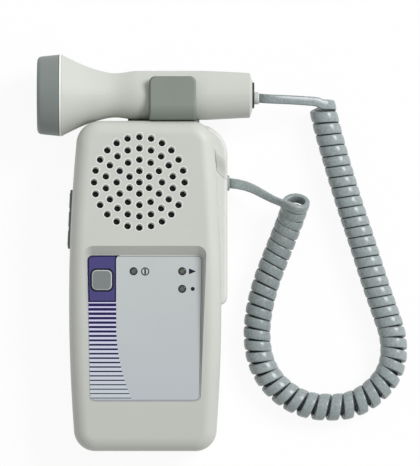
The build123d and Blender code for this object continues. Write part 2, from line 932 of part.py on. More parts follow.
with BuildPart() as speaker_magnet:
    with BuildSketch(Plane.XY.offset(basket_z)):
        with Locations((speaker_x, speaker_y)):
            Circle(magnet_r)
    extrude(amount=-magnet_depth)
    chamfer(speaker_magnet.edges().group_by(Axis.Z)[0], magnet_edge)
speaker_magnet.part.label = "speaker_magnet"
export_step(speaker_magnet.part, "parts/speaker_magnet.step")

# ---- main board and what stands on it
with BuildPart() as main_board:
    with BuildSketch(Plane.XY.offset(board_z)):
        with Locations((0, (board_low_y + board_top_y) / 2)):
            RectangleRounded(2 * board_half_width, board_top_y - board_low_y, board_corner)
        with Locations(*board_spots):
            Circle(screw_r + fit_gap, mode=Mode.SUBTRACT)
    extrude(amount=board_thick)
main_board.part.label = "main_board"
export_step(main_board.part, "parts/main_board.step")

with BuildPart() as board_chips:
    for x, y, width, height in chips:
        with BuildSketch(Plane.XY.offset(board_top_z)):
            with Locations((x, board_mid_y + y)):
                Rectangle(width, height)
        extrude(amount=chip_height)
board_chips.part.label = "board_chips"
export_step(board_chips.part, "parts/board_chips.step")

with BuildPart() as board_capacitors:
    with BuildSketch(Plane.XY.offset(board_top_z)):
        with Locations(*[(x, board_mid_y + y) for x, y in capacitors]):
            Circle(capacitor_r)
    extrude(amount=capacitor_height)
board_capacitors.part.label = "board_capacitors"
export_step(board_capacitors.part, "parts/board_capacitors.step")

with BuildPart() as board_connectors:
    with BuildSketch(Plane.XY.offset(board_top_z)):
        with Locations(speaker_plug):
            Rectangle(speaker_plug_size[0], speaker_plug_size[1])
    extrude(amount=speaker_plug_size[2])
    with BuildSketch(Plane.XY.offset(board_z)):
        with Locations(battery_plug):
            Rectangle(battery_plug_size[0], battery_plug_size[1])
    extrude(amount=-battery_plug_size[2])
board_connectors.part.label = "board_connectors"
export_step(board_connectors.part, "parts/board_connectors.step")

with BuildPart() as board_screws:
    with BuildSketch(Plane.XY.offset(board_z)):
        with Locations(*board_spots):
            Circle(screw_head_r)
    extrude(amount=-screw_head_height)
    with BuildSketch(Plane.XY.offset(board_z)):
        with Locations(*board_spots):
            Circle(screw_r)
    extrude(amount=board_thick + screw_bite)
board_screws.part.label = "board_screws"
export_step(board_screws.part, "parts/board_screws.step")

# ---- power button and switch
cap_low_z = pan_z - fit_gap
flange_low_z = cap_low_z - button_flange
nib_low_z = flange_low_z - nib_height
actuator_top_z = nib_low_z - button_travel - actuator_gap
cap_top_z = panel_floor_z + label_thick + button_proud

with BuildPart() as power_switch:
    with BuildSketch(Plane.XY.offset(board_top_z)):
        with Locations((button_x, button_y)):
            Rectangle(switch_size, switch_size)
    extrude(amount=min(switch_height, actuator_top_z - board_top_z - fit_gap))
    with BuildSketch(Plane.XY.offset(board_top_z)):
        with Locations((button_x, button_y)):
            Circle(actuator_r)
    extrude(amount=actuator_top_z - board_top_z)
power_switch.part.label = "power_switch"
export_step(power_switch.part, "parts/power_switch.step")

with BuildPart() as power_button:
    with BuildSketch(Plane.XY.offset(cap_low_z)):
        with Locations((button_x, button_y)):
            RectangleRounded(button_size, button_size, button_corner)
    extrude(amount=cap_top_z - cap_low_z)
    fillet(power_button.edges().group_by(Axis.Z)[-1], button_dome)
    with BuildSketch(Plane.XY.offset(flange_low_z)):
        with Locations((button_x, button_y)):
            RectangleRounded(button_size + 2 * button_lip, button_size + 2 * button_lip, button_corner)
    extrude(amount=button_flange)
    with BuildSketch(Plane.XY.offset(nib_low_z)):
        with Locations((button_x, button_y)):
            Circle(nib_r)
    extrude(amount=nib_height)
power_button.part.label = "power_button"
export_step(power_button.part, "parts/power_button.step")


# ---- lamps
def lamp_form(spot):
    with BuildPart() as form:
        with BuildSketch(Plane.XY.offset(board_top_z)):
            with Locations(spot):
                Circle(lamp_r)
        extrude(amount=panel_floor_z + label_thick + lamp_proud - board_top_z)
        fillet(form.edges().group_by(Axis.Z)[-1], lamp_round)
        with BuildSketch(Plane.XY.offset(board_top_z)):
            with Locations(spot):
                Circle(lamp_flange_r)
        extrude(amount=lamp_flange_height)
    return form.part


with BuildPart() as power_led:
    add(lamp_form(power_lamp))
power_led.part.label = "power_led"
export_step(power_led.part, "parts/power_led.step")

with BuildPart() as play_led:
    add(lamp_form(play_lamp))
play_led.part.label = "play_led"
export_step(play_led.part, "parts/play_led.step")

with BuildPart() as record_led:
    add(lamp_form(record_lamp))
record_led.part.label = "record_led"
export_step(record_led.part, "parts/record_led.step")

# ---- side keys
with BuildPart() as side_key_bezel:
    with BuildSketch(key_plane.offset(bezel_proud)):
        RectangleRounded(bezel_length, bezel_height, bezel_corner)
    extrude(amount=-bezel_proud - bezel_back)
    chamfer(side_key_bezel.faces().sort_by(Axis.X)[0].edges(), bezel_edge)
    with BuildSketch(key_plane.offset(-wall - bezel_seat)):
        RectangleRounded(bezel_length + bezel_lip, bezel_height + bezel_lip, bezel_corner)
    extrude(amount=-bezel_flange)
    with BuildSketch(key_plane.offset(bezel_proud)):
        with Locations(*key_spots):
            RectangleRounded(key_length + 2 * fit_gap, key_height + 2 * fit_gap, key_corner)
    extrude(amount=-bezel_proud - bezel_back - past, mode=Mode.SUBTRACT)
side_key_bezel.part.label = "side_key_bezel"
export_step(side_key_bezel.part, "parts/side_key_bezel.step")


def key_form(spot):
    with BuildPart() as form:
        with BuildSketch(key_plane.offset(bezel_proud + key_proud)):
            with Locations(spot):
                RectangleRounded(key_length, key_height, key_corner)
        extrude(amount=-bezel_proud - key_proud - key_flange_back)
        fillet(form.faces().sort_by(Axis.X)[0].edges(), key_edge)
        with BuildSketch(key_plane.offset(-bezel_back - fit_gap)):
            with Locations(spot):
                RectangleRounded(key_length + 2 * key_lip, key_height + 2 * key_lip, key_corner)
        extrude(amount=-key_flange)
    return form.part


with BuildPart() as volume_up_key:
    add(key_form(key_spots[-1]))
volume_up_key.part.label = "volume_up_key"
export_step(volume_up_key.part, "parts/volume_up_key.step")

with BuildPart() as volume_down_key:
    add(key_form(key_spots[1]))
volume_down_key.part.label = "volume_down_key"
export_step(volume_down_key.part, "parts/volume_down_key.step")

with BuildPart() as record_key:
    add(key_form(key_spots[0]))
record_key.part.label = "record_key"
export_step(record_key.part, "parts/record_key.step")

with BuildPart() as side_key_switches:
    with BuildSketch(key_plane.offset(-key_board_top)):
        with Locations(*key_spots):
            Rectangle(key_switch_size, key_switch_size)
    extrude(amount=key_switch_height)
    with BuildSketch(key_plane.offset(-key_switch_top)):
        with Locations(*key_spots):
            Circle(key_switch_size / 4)
    extrude(amount=key_actuator)
side_key_switches.part.label = "side_key_switches"
export_step(side_key_switches.part, "parts/side_key_switches.step")

with BuildPart() as side_key_board:
    with BuildSketch(key_plane.offset(-key_board_top)):
        Rectangle(key_board_length, key_board_height)
    extrude(amount=-key_board_thick)
side_key_board.part.label = "side_key_board"
export_step(side_key_board.part, "parts/side_key_board.step")

# ---- battery, its contacts and its door
with BuildPart() as battery:
    with BuildSketch(Plane.XZ.offset(-battery_low_y)):
        with Locations((0, battery_z + battery_height / 2)):
            RectangleRounded(battery_width, battery_height, battery_round)
    extrude(amount=-battery_length)
battery.part.label = "battery"
export_step(battery.part, "parts/battery.step")

with BuildPart() as battery_terminals:
    with BuildSketch(Plane.XZ.offset(-battery_top_y)):
        with Locations(*[(side * terminal_space / 2, battery_z + battery_height / 2) for side in (-1, 1)]):
            Circle(terminal_r)
    extrude(amount=-terminal_length)
battery_terminals.part.label = "battery_terminals"
export_step(battery_terminals.part, "parts/battery_terminals.step")

with BuildPart() as battery_snap:
    snap_top_z = battery_z + battery_height - snap_high
    snap_half = battery_width / 2
    snap_low_z = battery_z + snap_low
    add(block(-snap_half, snap_half, snap_y, snap_y + snap_thick, snap_low_z, snap_top_z))
battery_snap.part.label = "battery_snap"
export_step(battery_snap.part, "parts/battery_snap.step")

lip_inner_y = -unit_end_y + door_lip_wall
lip_half = tongue_half - fit_gap
with BuildPart() as door_lip:
    add(rear_form(0, 0, split_z, back_edge))
    add(block(-lip_half, lip_half, -unit_length, lip_inner_y, -past, door_lip_height), mode=Mode.INTERSECT)

with BuildPart() as battery_door:
    add(door_lip.part)
    door_low_y = lip_inner_y - run_in
    add(block(-door_half_width, door_half_width, door_low_y, door_end_y, 0, door_skin + fit_gap))
    add(
        block(
            fit_gap - tongue_half,
            tongue_half - fit_gap,
            door_low_y,
            door_end_y,
            door_skin + fit_gap / 2,
            door_top_z,
        )
    )
    for i in range(grip_ribs):
        y = grip_y + i * grip_pitch
        add(
            block(-grip_length / 2, grip_length / 2, y, y + grip_width, -past, grip_depth),
            mode=Mode.SUBTRACT,
        )
battery_door.part.label = "battery_door"
export_step(battery_door.part, "parts/battery_door.step")

# ---- headphone socket and cord gland
with BuildPart() as headphone_jack:
    add(
        block(
            wall - half_width_mid + snug_gap,
            wall - half_width_mid + jack_body[0],
            jack_y - jack_body[1] / 2,
            jack_y + jack_body[1] / 2,
            jack_low_z,
            jack_low_z + jack_body[2],
        )
    )
    with BuildSketch(Plane.YZ.offset(-half_width_mid)):
        with Locations((jack_y, jack_z)):
            Circle(jack_nose_r)
    extrude(amount=wall + jack_nose_root)
    with BuildSketch(Plane.YZ.offset(-half_width_mid)):
        with Locations((jack_y, jack_z)):
            Circle(jack_bore_r)
    extrude(amount=jack_bore_depth, mode=Mode.SUBTRACT)
headphone_jack.part.label = "headphone_jack"
export_step(headphone_jack.part, "parts/headphone_jack.step")

with BuildPart() as cord_gland:
    with BuildSketch(Plane.YZ.offset(pod_x - wall - gland_flange)):
        with Locations((gland_y, gland_z)):
            SlotOverall(gland_width + 2 * gland_lip, gland_height + 2 * gland_lip)
    extrude(amount=gland_flange)
    with BuildSketch(Plane.YZ.offset(pod_x - wall)):
        with Locations((gland_y, gland_z)):
            SlotOverall(gland_width, gland_height)
    extrude(amount=wall)
    with BuildSketch(Plane.YZ.offset(pod_x)):
        with Locations((gland_y, gland_z)):
            SlotOverall(gland_width + 2 * gland_lip, gland_height + 2 * gland_lip)
    extrude(amount=gland_flange)
    fillet(cord_gland.edges().group_by(Axis.X)[-1], gland_edge)
cord_gland.part.label = "cord_gland"
export_step(cord_gland.part, "parts/cord_gland.step")

# ---- case screws, from the back
with BuildPart() as case_screws:
    with BuildSketch(Plane.XY.offset(case_bore_depth)):
        with Locations(*case_spots):
            Circle(case_head_r)
    extrude(amount=-case_head_height)
    with BuildSketch(Plane.XY.offset(case_bore_depth)):
        with Locations(*case_spots):
            Circle(case_screw_r)
    extrude(amount=split_z - case_bore_depth + case_screw_reach)
case_screws.part.label = "case_screws"
export_step(case_screws.part, "parts/case_screws.step")

# ---- probe clip: a C open to +Y, with a narrow front flap and a wide rear arm
with BuildPart() as probe_clip:
    with BuildSketch(Plane.YZ.offset(arm_left)):
        with BuildLine():
            Polyline(
                (clip_back_y, arm_top_z),
                (clip_back_y, arm_low_z),
                (arm_end_y, arm_low_z),
                (arm_end_y, arm_high_z),
                (probe_y, arm_high_z),
                (probe_y, arm_top_z),
                close=True,
            )
        make_face()
    extrude(amount=arm_right - arm_left)
    with BuildSketch(Plane.YZ.offset(flap_left)):
        with BuildLine():
            Polyline(
                (clip_back_y, arm_low_z),
                (clip_back_y, flap_root_z),
                (unit_end_y + clip_gap, flap_root_z),
                (unit_end_y + clip_gap, flap_top_z),
                (flap_end_y, flap_top_z),
                (flap_end_y, flap_low_z),
                (probe_y, flap_low_z),
                (probe_y, arm_low_z),
                close=True,
            )
        make_face()
    extrude(amount=flap_right - flap_left)
    with BuildSketch(Plane.YZ.offset(arm_left)):
        with Locations((probe_y, probe_z)):
            Circle(clip_inner_r)
    extrude(amount=arm_right - arm_left, mode=Mode.SUBTRACT)
    far = probe_clip.edges().filter_by(Axis.Z).group_by(Axis.Y)[-1]
    fillet(far, flap_corner)
    fillet(probe_clip.edges().group_by(Axis.Z)[-1], flap_round)
    with BuildSketch(Plane.XZ.offset(-clip_back_y)):
        with Locations(*[(x, clip_screw_z) for x in clip_screw_x]):
            Circle(clip_boss_r)
    extrude(amount=pocket_gap + pad_wall)
    with BuildSketch(Plane.XZ.offset(-pad_y)):
        with Locations(*[(x, clip_screw_z) for x in clip_screw_x]):
            Circle(screw_r + snug_gap)
    extrude(amount=-clip_pilot_depth, mode=Mode.SUBTRACT)
probe_clip.part.label = "probe_clip"
export_step(probe_clip.part, "parts/probe_clip.step")

with BuildPart() as clip_screws:
    with BuildSketch(Plane.XZ.offset(-pad_y)):
        with Locations(*[(x, clip_screw_z) for x in clip_screw_x]):
            Circle(clip_head_r)
    extrude(amount=clip_head_height)
    with BuildSketch(Plane.XZ.offset(-pad_y)):
        with Locations(*[(x, clip_screw_z) for x in clip_screw_x]):
            Circle(screw_r)
    extrude(amount=fit_gap - clip_pilot_depth)
clip_screws.part.label = "clip_screws"
export_step(clip_screws.part, "parts/clip_screws.step")

# ---- probe, turned about an axis along X
probe_plane = Plane(origin=(0, probe_y, probe_z), x_dir=(1, 0, 0), z_dir=(0, -1, 0))
probe_axis = Axis((0, probe_y, probe_z), (1, 0, 0))


def probe_profile(inset):
    """Half outline of the probe's shell, from its lip to its tail, drawn inside it by inset."""
    lip = (face_back_x, face_back_r - inset)
    shoulder = (face_back_x + probe_lip, face_back_r - inset)
    head = (head_x, head_r - inset)
    rim = Polyline(lip, shoulder, head)
    neck = Spline(
        head,
        *[(x, r - inset) for x, r in neck_points],
        (handle_x, handle_r - inset),
        tangents=neck_ends,
    )
    return rim, neck


with BuildPart() as probe_shell:
    with BuildSketch(probe_plane):
        with BuildLine():
            rim, neck = probe_profile(0)
            tail = Polyline(
                neck @ 1,
                (tail_x, handle_r),
                (tail_end_x, tail_r),
                (probe_end_x, probe_end_r),
                (probe_end_x, plug_neck_r),
                (probe_end_x - probe_wall, plug_neck_r),
                (probe_end_x - probe_wall, probe_end_r - probe_wall / 2),
                (tail_end_x - probe_wall / 2, tail_r - probe_wall),
                (tail_x, handle_r - probe_wall),
                (handle_x, handle_r - probe_wall),
            )
            rim_in, neck_in = probe_profile(probe_wall)
            Line(rim_in @ 0, rim @ 0)
        make_face()
    revolve(axis=probe_axis)
probe_shell.part.label = "probe_shell"
export_step(probe_shell.part, "parts/probe_shell.step")

with BuildPart() as probe_face:
    with BuildSketch(probe_plane):
        with BuildLine():
            Polyline(
                (face_x, 0),
                (face_x, face_front_r),
                (face_back_x, face_back_r),
                (face_back_x, spigot_r),
                (face_back_x + spigot_depth, spigot_r),
                (face_back_x + spigot_depth, spigot_r - face_wall),
                (face_x + face_front, backing_r + 2 * snug_gap),
                (face_x + face_front, 0),
                close=True,
            )
        make_face()
    revolve(axis=probe_axis)
    fillet(probe_face.edges().group_by(Axis.X)[0], face_edge_r)
probe_face.part.label = "probe_face"
export_step(probe_face.part, "parts/probe_face.step")

crystal_x = face_x + face_front
crystal_plane = Plane(origin=(crystal_x, probe_y, probe_z), x_dir=(0, 1, 0), z_dir=(1, 0, 0))


def crystal_form(side):
    with BuildPart() as form:
        with BuildSketch(crystal_plane):
            Circle(crystal_r)
            with Locations((-side * (crystal_r - crystal_space / 2), 0)):
                Rectangle(2 * crystal_r, 2 * crystal_r, mode=Mode.SUBTRACT)
        extrude(amount=crystal_thick)
    return form.part


with BuildPart() as transmit_crystal:
    add(crystal_form(1))
transmit_crystal.part.label = "transmit_crystal"
export_step(transmit_crystal.part, "parts/transmit_crystal.step")

with BuildPart() as receive_crystal:
    add(crystal_form(-1))
receive_crystal.part.label = "receive_crystal"
export_step(receive_crystal.part, "parts/receive_crystal.step")

with BuildPart() as crystal_backing:
    with BuildSketch(crystal_plane.offset(crystal_thick)):
        Circle(backing_r)
    extrude(amount=backing_thick)
crystal_backing.part.label = "crystal_backing"
export_step(crystal_backing.part, "parts/crystal_backing.step")

with BuildPart() as probe_board:
    add(
        block(
            probe_board_ends[0],
            probe_board_ends[1],
            probe_y - probe_board_half,
            probe_y + probe_board_half,
            probe_z - probe_board_thick / 2,
            probe_z + probe_board_thick / 2,
        )
    )
probe_board.part.label = "probe_board"
export_step(probe_board.part, "parts/probe_board.step")

with BuildPart() as probe_end_plug:
    with BuildSketch(Plane(origin=(probe_end_x, probe_y, probe_z), x_dir=(0, 1, 0), z_dir=(1, 0, 0))):
        Circle(plug_r)
    extrude(amount=plug_thick)
    fillet(probe_end_plug.edges().group_by(Axis.X)[-1], plug_edge)
    with BuildSketch(Plane(origin=(probe_end_x, probe_y, probe_z), x_dir=(0, 1, 0), z_dir=(1, 0, 0))):
        Circle(plug_neck_r)
    extrude(amount=-probe_wall)
probe_end_plug.part.label = "probe_end_plug"
export_step(probe_end_plug.part, "parts/probe_end_plug.step")

with BuildPart() as probe_cord_collar:
    with BuildSketch(Plane(origin=(plug_x, collar_y, probe_z), x_dir=(0, 1, 0), z_dir=(1, 0, 0))):
        Circle(collar_r)
    extrude(amount=collar_length)
    fillet(probe_cord_collar.edges().group_by(Axis.X)[-1], collar_edge)
probe_cord_collar.part.label = "probe_cord_collar"
export_step(probe_cord_collar.part, "parts/probe_cord_collar.step")

# ---- wires inside the unit
with BuildPart() as speaker_leads:
    plug_end_y = speaker_plug[1] + speaker_plug_size[1] / 2
    plug_z = board_top_z + speaker_plug_size[2] / 2
    foot_y = speaker_y - speaker_r + flange_width / 3
    for side in (-1, 1):
        x = speaker_plug[0] + side * wire_space / 2
        with BuildLine() as lead_line:
            FilletPolyline(
                (x, plug_end_y, plug_z),
                (x, plug_end_y + speaker_wire[0], plug_z + speaker_wire[1]),
                (x, foot_y, plug_z + speaker_wire[2]),
                (x, foot_y, flange_z),
                radius=speaker_wire_bend,
            )
        with BuildSketch(Plane(origin=(x, plug_end_y, plug_z), z_dir=lead_line.wires()[0] % 0)):
            Circle(wire_r)
        sweep(path=lead_line.wires()[0])
speaker_leads.part.label = "speaker_leads"
export_step(speaker_leads.part, "parts/speaker_leads.step")

with BuildPart() as battery_leads:
    snap_mid_y = snap_y + snap_thick / 2
    plug_low_y = battery_plug[1] - battery_plug_size[1] / 2
    plug_mid_z = board_z - battery_plug_size[2] / 2
    for side in (-1, 1):
        x = battery_plug[0] + side * wire_space / 2
        with BuildLine() as lead_line:
            FilletPolyline(
                (x, snap_mid_y, snap_top_z),
                (x, snap_mid_y, plug_mid_z - battery_wire[0]),
                (x, snap_mid_y + battery_wire[1], plug_mid_z),
                (x, plug_low_y, plug_mid_z),
                radius=battery_wire_bend,
            )
        with BuildSketch(Plane(origin=(x, snap_mid_y, snap_top_z), z_dir=lead_line.wires()[0] % 0)):
            Circle(wire_r)
        sweep(path=lead_line.wires()[0])
battery_leads.part.label = "battery_leads"
export_step(battery_leads.part, "parts/battery_leads.step")

# ---- the cord
with BuildPart() as unit_lead:
    add(cord_tube(unit_lead_points, lead_r))
unit_lead.part.label = "unit_lead"
export_step(unit_lead.part, "parts/unit_lead.step")

with BuildPart() as curly_cord:
    add(cord_tube(curl_points, curl_r))
curly_cord.part.label = "curly_cord"
export_step(curly_cord.part, "parts/curly_cord.step")

with BuildPart() as probe_lead:
    add(cord_tube(probe_lead_points, lead_r))
probe_lead.part.label = "probe_lead"
export_step(probe_lead.part, "parts/probe_lead.step")
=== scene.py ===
import math

import bmesh
import bpy
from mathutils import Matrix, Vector


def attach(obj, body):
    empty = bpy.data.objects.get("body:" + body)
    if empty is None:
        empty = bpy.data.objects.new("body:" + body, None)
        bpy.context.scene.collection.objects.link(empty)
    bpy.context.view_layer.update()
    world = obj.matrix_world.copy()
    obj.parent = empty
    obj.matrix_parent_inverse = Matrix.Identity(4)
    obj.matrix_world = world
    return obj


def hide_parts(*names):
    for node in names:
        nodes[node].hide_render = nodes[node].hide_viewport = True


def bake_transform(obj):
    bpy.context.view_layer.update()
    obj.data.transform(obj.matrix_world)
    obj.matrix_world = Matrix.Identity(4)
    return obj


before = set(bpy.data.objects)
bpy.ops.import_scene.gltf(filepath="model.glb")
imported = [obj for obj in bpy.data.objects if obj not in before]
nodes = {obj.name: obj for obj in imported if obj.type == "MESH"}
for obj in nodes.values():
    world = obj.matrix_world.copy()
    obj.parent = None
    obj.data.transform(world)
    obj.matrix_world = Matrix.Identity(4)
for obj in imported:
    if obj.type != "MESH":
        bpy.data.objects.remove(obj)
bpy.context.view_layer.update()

mm = 0.001
tiny = 1e-9  # keeps a division clear of zero
scene = bpy.context.scene
scene.view_settings.view_transform = "Standard"
print("frame loaded:", len(nodes), "nodes")


def tone(red, green, blue):
    # a screen colour, 0 to 255, as the linear colour that a shader takes
    def linear(v):
        v /= 255
        return v / 12.92 if v <= 0.04045 else ((v + 0.055) / 1.055) ** 2.4
    return (linear(red), linear(green), linear(blue), 1.0)


def place(x, y, z):
    return Vector((x, y, z)) * mm


def clamp(value):
    # keeps a share between 0 and 1
    return min(max(value, 0.0), 1.0)


def meshPiece(name, points, faces):
    mesh = bpy.data.meshes.new(name)
    mesh.from_pydata([tuple(p) for p in points], [], faces)
    mesh.validate()
    mesh.polygons.foreach_set("use_smooth", [True] * len(mesh.polygons))
    piece = bpy.data.objects.new(name, mesh)
    scene.collection.objects.link(piece)
    return piece


def faceOut(mesh):
    # turns the front of every face to the outside
    bm = bmesh.new()
    bm.from_mesh(mesh)
    bmesh.ops.recalc_face_normals(bm, faces=bm.faces)
    bm.to_mesh(mesh)
    bm.free()


def addNode(tree, kind, settings=None, **inputs):
    node = tree.nodes.new(kind)
    for key, value in (settings or {}).items():
        setattr(node, key, value)
    for key, value in inputs.items():
        node.inputs[key.replace("_", " ")].default_value = value
    return node


def calcFor(tree):
    # a function that adds one math node to this tree and gives its result
    def calc(operation, *values):
        node = addNode(tree, "ShaderNodeMath", {"operation": operation})
        for socket, value in zip(node.inputs, values):
            if isinstance(value, (int, float)):
                socket.default_value = value
            else:
                tree.links.new(value, socket)
        return node.outputs[0]
    return calc


def mixColours(tree, share, first, second):
    # runs from the first colour to the second as the share goes from 0 to 1
    node = addNode(tree, "ShaderNodeMix", {"data_type": "RGBA"})
    # a Mix node has its share at input 0, its two colours at 6 and 7 and the mixed one at output 2
    for number, value in ((0, share), (6, first), (7, second)):
        if isinstance(value, tuple):
            node.inputs[number].default_value = value
        else:
            tree.links.new(value, node.inputs[number])
    return node.outputs[2]


def objectPlace(tree):
    # where a point of the surface lies, as x, y and z in metres
    split = addNode(tree, "ShaderNodeSeparateXYZ")
    tree.links.new(addNode(tree, "ShaderNodeTexCoord").outputs["Object"], split.inputs[0])
    return split.outputs


def splinePoints(name, points, resolution):
    # reads back the smooth line that a NURBS spline with these control points makes
    curve = bpy.data.curves.new(name, "CURVE")
    curve.dimensions = "3D"
    curve.resolution_u = resolution
    spline = curve.splines.new("NURBS")
    spline.points.add(len(points) - 1)
    for slot, point in zip(spline.points, points):
        slot.co = (*point, 1.0)
    spline.order_u = 3
    spline.use_endpoint_u = True
    carrier = bpy.data.objects.new(name, curve)
    scene.collection.objects.link(carrier)
    bpy.context.view_layer.update()
    depsgraph = bpy.context.evaluated_depsgraph_get()
    mesh = bpy.data.meshes.new_from_object(carrier.evaluated_get(depsgraph))
    line = [v.co.copy() for v in mesh.vertices]
    bpy.data.objects.remove(carrier)
    bpy.data.meshes.remove(mesh)
    return line


view = {
    "centre": (27.4, 22.47),
    "height": 4000.0,
    "width": 178.1,  # what the frame spans, at the height of the unit's middle
    "middle": 16.0,
    "sensor": 36.0,
    "near": 0.05,  # metres, nothing closer than this is drawn
}


def buildCamera():
    camera = bpy.data.cameras.new("camera")
    camera.sensor_fit = "HORIZONTAL"
    camera.sensor_width = view["sensor"]
    camera.lens = view["sensor"] * (view["height"] - view["middle"]) / view["width"]
    camera.clip_start = view["near"]
    carrier = bpy.data.objects.new("camera", camera)
    scene.collection.objects.link(carrier)
    carrier.location = place(*view["centre"], view["height"])
    scene.camera = carrier


light = {
    "world": 0.47,
    "key": 2.35,
    "keyFrom": (0.68, 0.45, 0.75),
    "keyAngle": 26.0,
}


def directRays(tree):
    # 1 for rays that see the backdrop straight, in a reflection or through glass
    rays = addNode(tree, "ShaderNodeLightPath").outputs
    calc = calcFor(tree)
    seen = calc("MAXIMUM", rays["Is Camera Ray"], rays["Is Glossy Ray"])
    return calc("MAXIMUM", seen, rays["Is Transmission Ray"])


def buildLight():
    world = bpy.data.worlds.new("softRoom")
    world.use_nodes = True
    tree = world.node_tree
    sky = tree.nodes["Background"]
    sky.inputs["Color"].default_value = (1, 1, 1, 1)
    # the room's own strength lights the object; what looks at the room itself sees plain white
    bright = addNode(tree, "ShaderNodeMapRange")
    bright.inputs["To Min"].default_value = light["world"]
    bright.inputs["To Max"].default_value = 1.0
    tree.links.new(directRays(tree), bright.inputs["Value"])
    tree.links.new(bright.outputs["Result"], sky.inputs["Strength"])
    scene.world = world
    lamp = bpy.data.lights.new("keyLight", "SUN")
    lamp.energy = light["key"]
    lamp.angle = math.radians(light["keyAngle"])
    carrier = bpy.data.objects.new("keyLight", lamp)
    scene.collection.objects.link(carrier)
    carrier.rotation_euler = Vector(light["keyFrom"]).to_track_quat("Z", "Y").to_euler()


floor = {
    "half": 1.6,
    "drop": 0.00006,
    "paper": (0.96, 0.96, 0.96, 1),
    "white": 0.92,  # share of the floor that is plain white to the camera
}


def buildFloor():
    h, z = floor["half"], -floor["drop"]
    piece = meshPiece("floor", [(-h, -h, z), (h, -h, z), (h, h, z), (-h, h, z)], [(0, 1, 2, 3)])
    mat = bpy.data.materials.new("paleFloor")
    mat.use_nodes = True
    tree = mat.node_tree
    tree.nodes.clear()
    paper = addNode(tree, "ShaderNodeBsdfDiffuse", Color=floor["paper"])
    glow = addNode(tree, "ShaderNodeEmission", Color=(1, 1, 1, 1), Strength=1.0)
    mix = addNode(tree, "ShaderNodeMixShader")
    out = addNode(tree, "ShaderNodeOutputMaterial")
    share = calcFor(tree)("MULTIPLY", directRays(tree), floor["white"])
    tree.links.new(share, mix.inputs["Fac"])
    tree.links.new(paper.outputs[0], mix.inputs[1])
    tree.links.new(glow.outputs[0], mix.inputs[2])
    tree.links.new(mix.outputs[0], out.inputs["Surface"])
    piece.data.materials.append(mat)


buildCamera()
buildLight()
buildFloor()
print("camera, light and floor stand")


# what a finish has where its own row says nothing else
plainLook = {
    "metal": 0.0, "shine": 0.4, "coat": 0.0, "coatRough": 0.1, "sheen": 0.0,
    "cloud": 60.0, "smooth": 0.4, "rough": 0.5,
    "grain": 2600.0, "bump": 0.12, "depth": 0.00006,
}


def finish(name, look):
    # a moulded or painted surface: clouded colour, fine grain, uneven gloss
    look = dict(plainLook, **look)
    mat = bpy.data.materials.new(name)
    mat.use_nodes = True
    tree = mat.node_tree
    link = tree.links.new
    shader = tree.nodes["Principled BSDF"]
    for socket, key in (("Metallic", "metal"), ("Specular IOR Level", "shine"), ("Coat Weight", "coat"),
                        ("Coat Roughness", "coatRough"), ("Sheen Weight", "sheen")):
        shader.inputs[socket].default_value = look[key]
    where = addNode(tree, "ShaderNodeTexCoord").outputs["Object"]
    cloud = addNode(tree, "ShaderNodeTexNoise", Scale=look["cloud"], Detail=3.0, Roughness=0.55)
    link(where, cloud.inputs["Vector"])
    colours = mixColours(tree, cloud.outputs["Fac"], tone(*look["dark"]), tone(*look["light"]))
    link(colours, shader.inputs["Base Color"])
    gloss = addNode(tree, "ShaderNodeMapRange", To_Min=look["smooth"], To_Max=look["rough"])
    link(cloud.outputs["Fac"], gloss.inputs["Value"])
    link(gloss.outputs["Result"], shader.inputs["Roughness"])
    grain = addNode(tree, "ShaderNodeTexNoise", Scale=look["grain"], Detail=2.0, Roughness=0.6)
    link(where, grain.inputs["Vector"])
    bump = addNode(tree, "ShaderNodeBump", Strength=look["bump"], Distance=look["depth"])
    link(grain.outputs["Fac"], bump.inputs["Height"])
    link(bump.outputs["Normal"], shader.inputs["Normal"])
    return mat


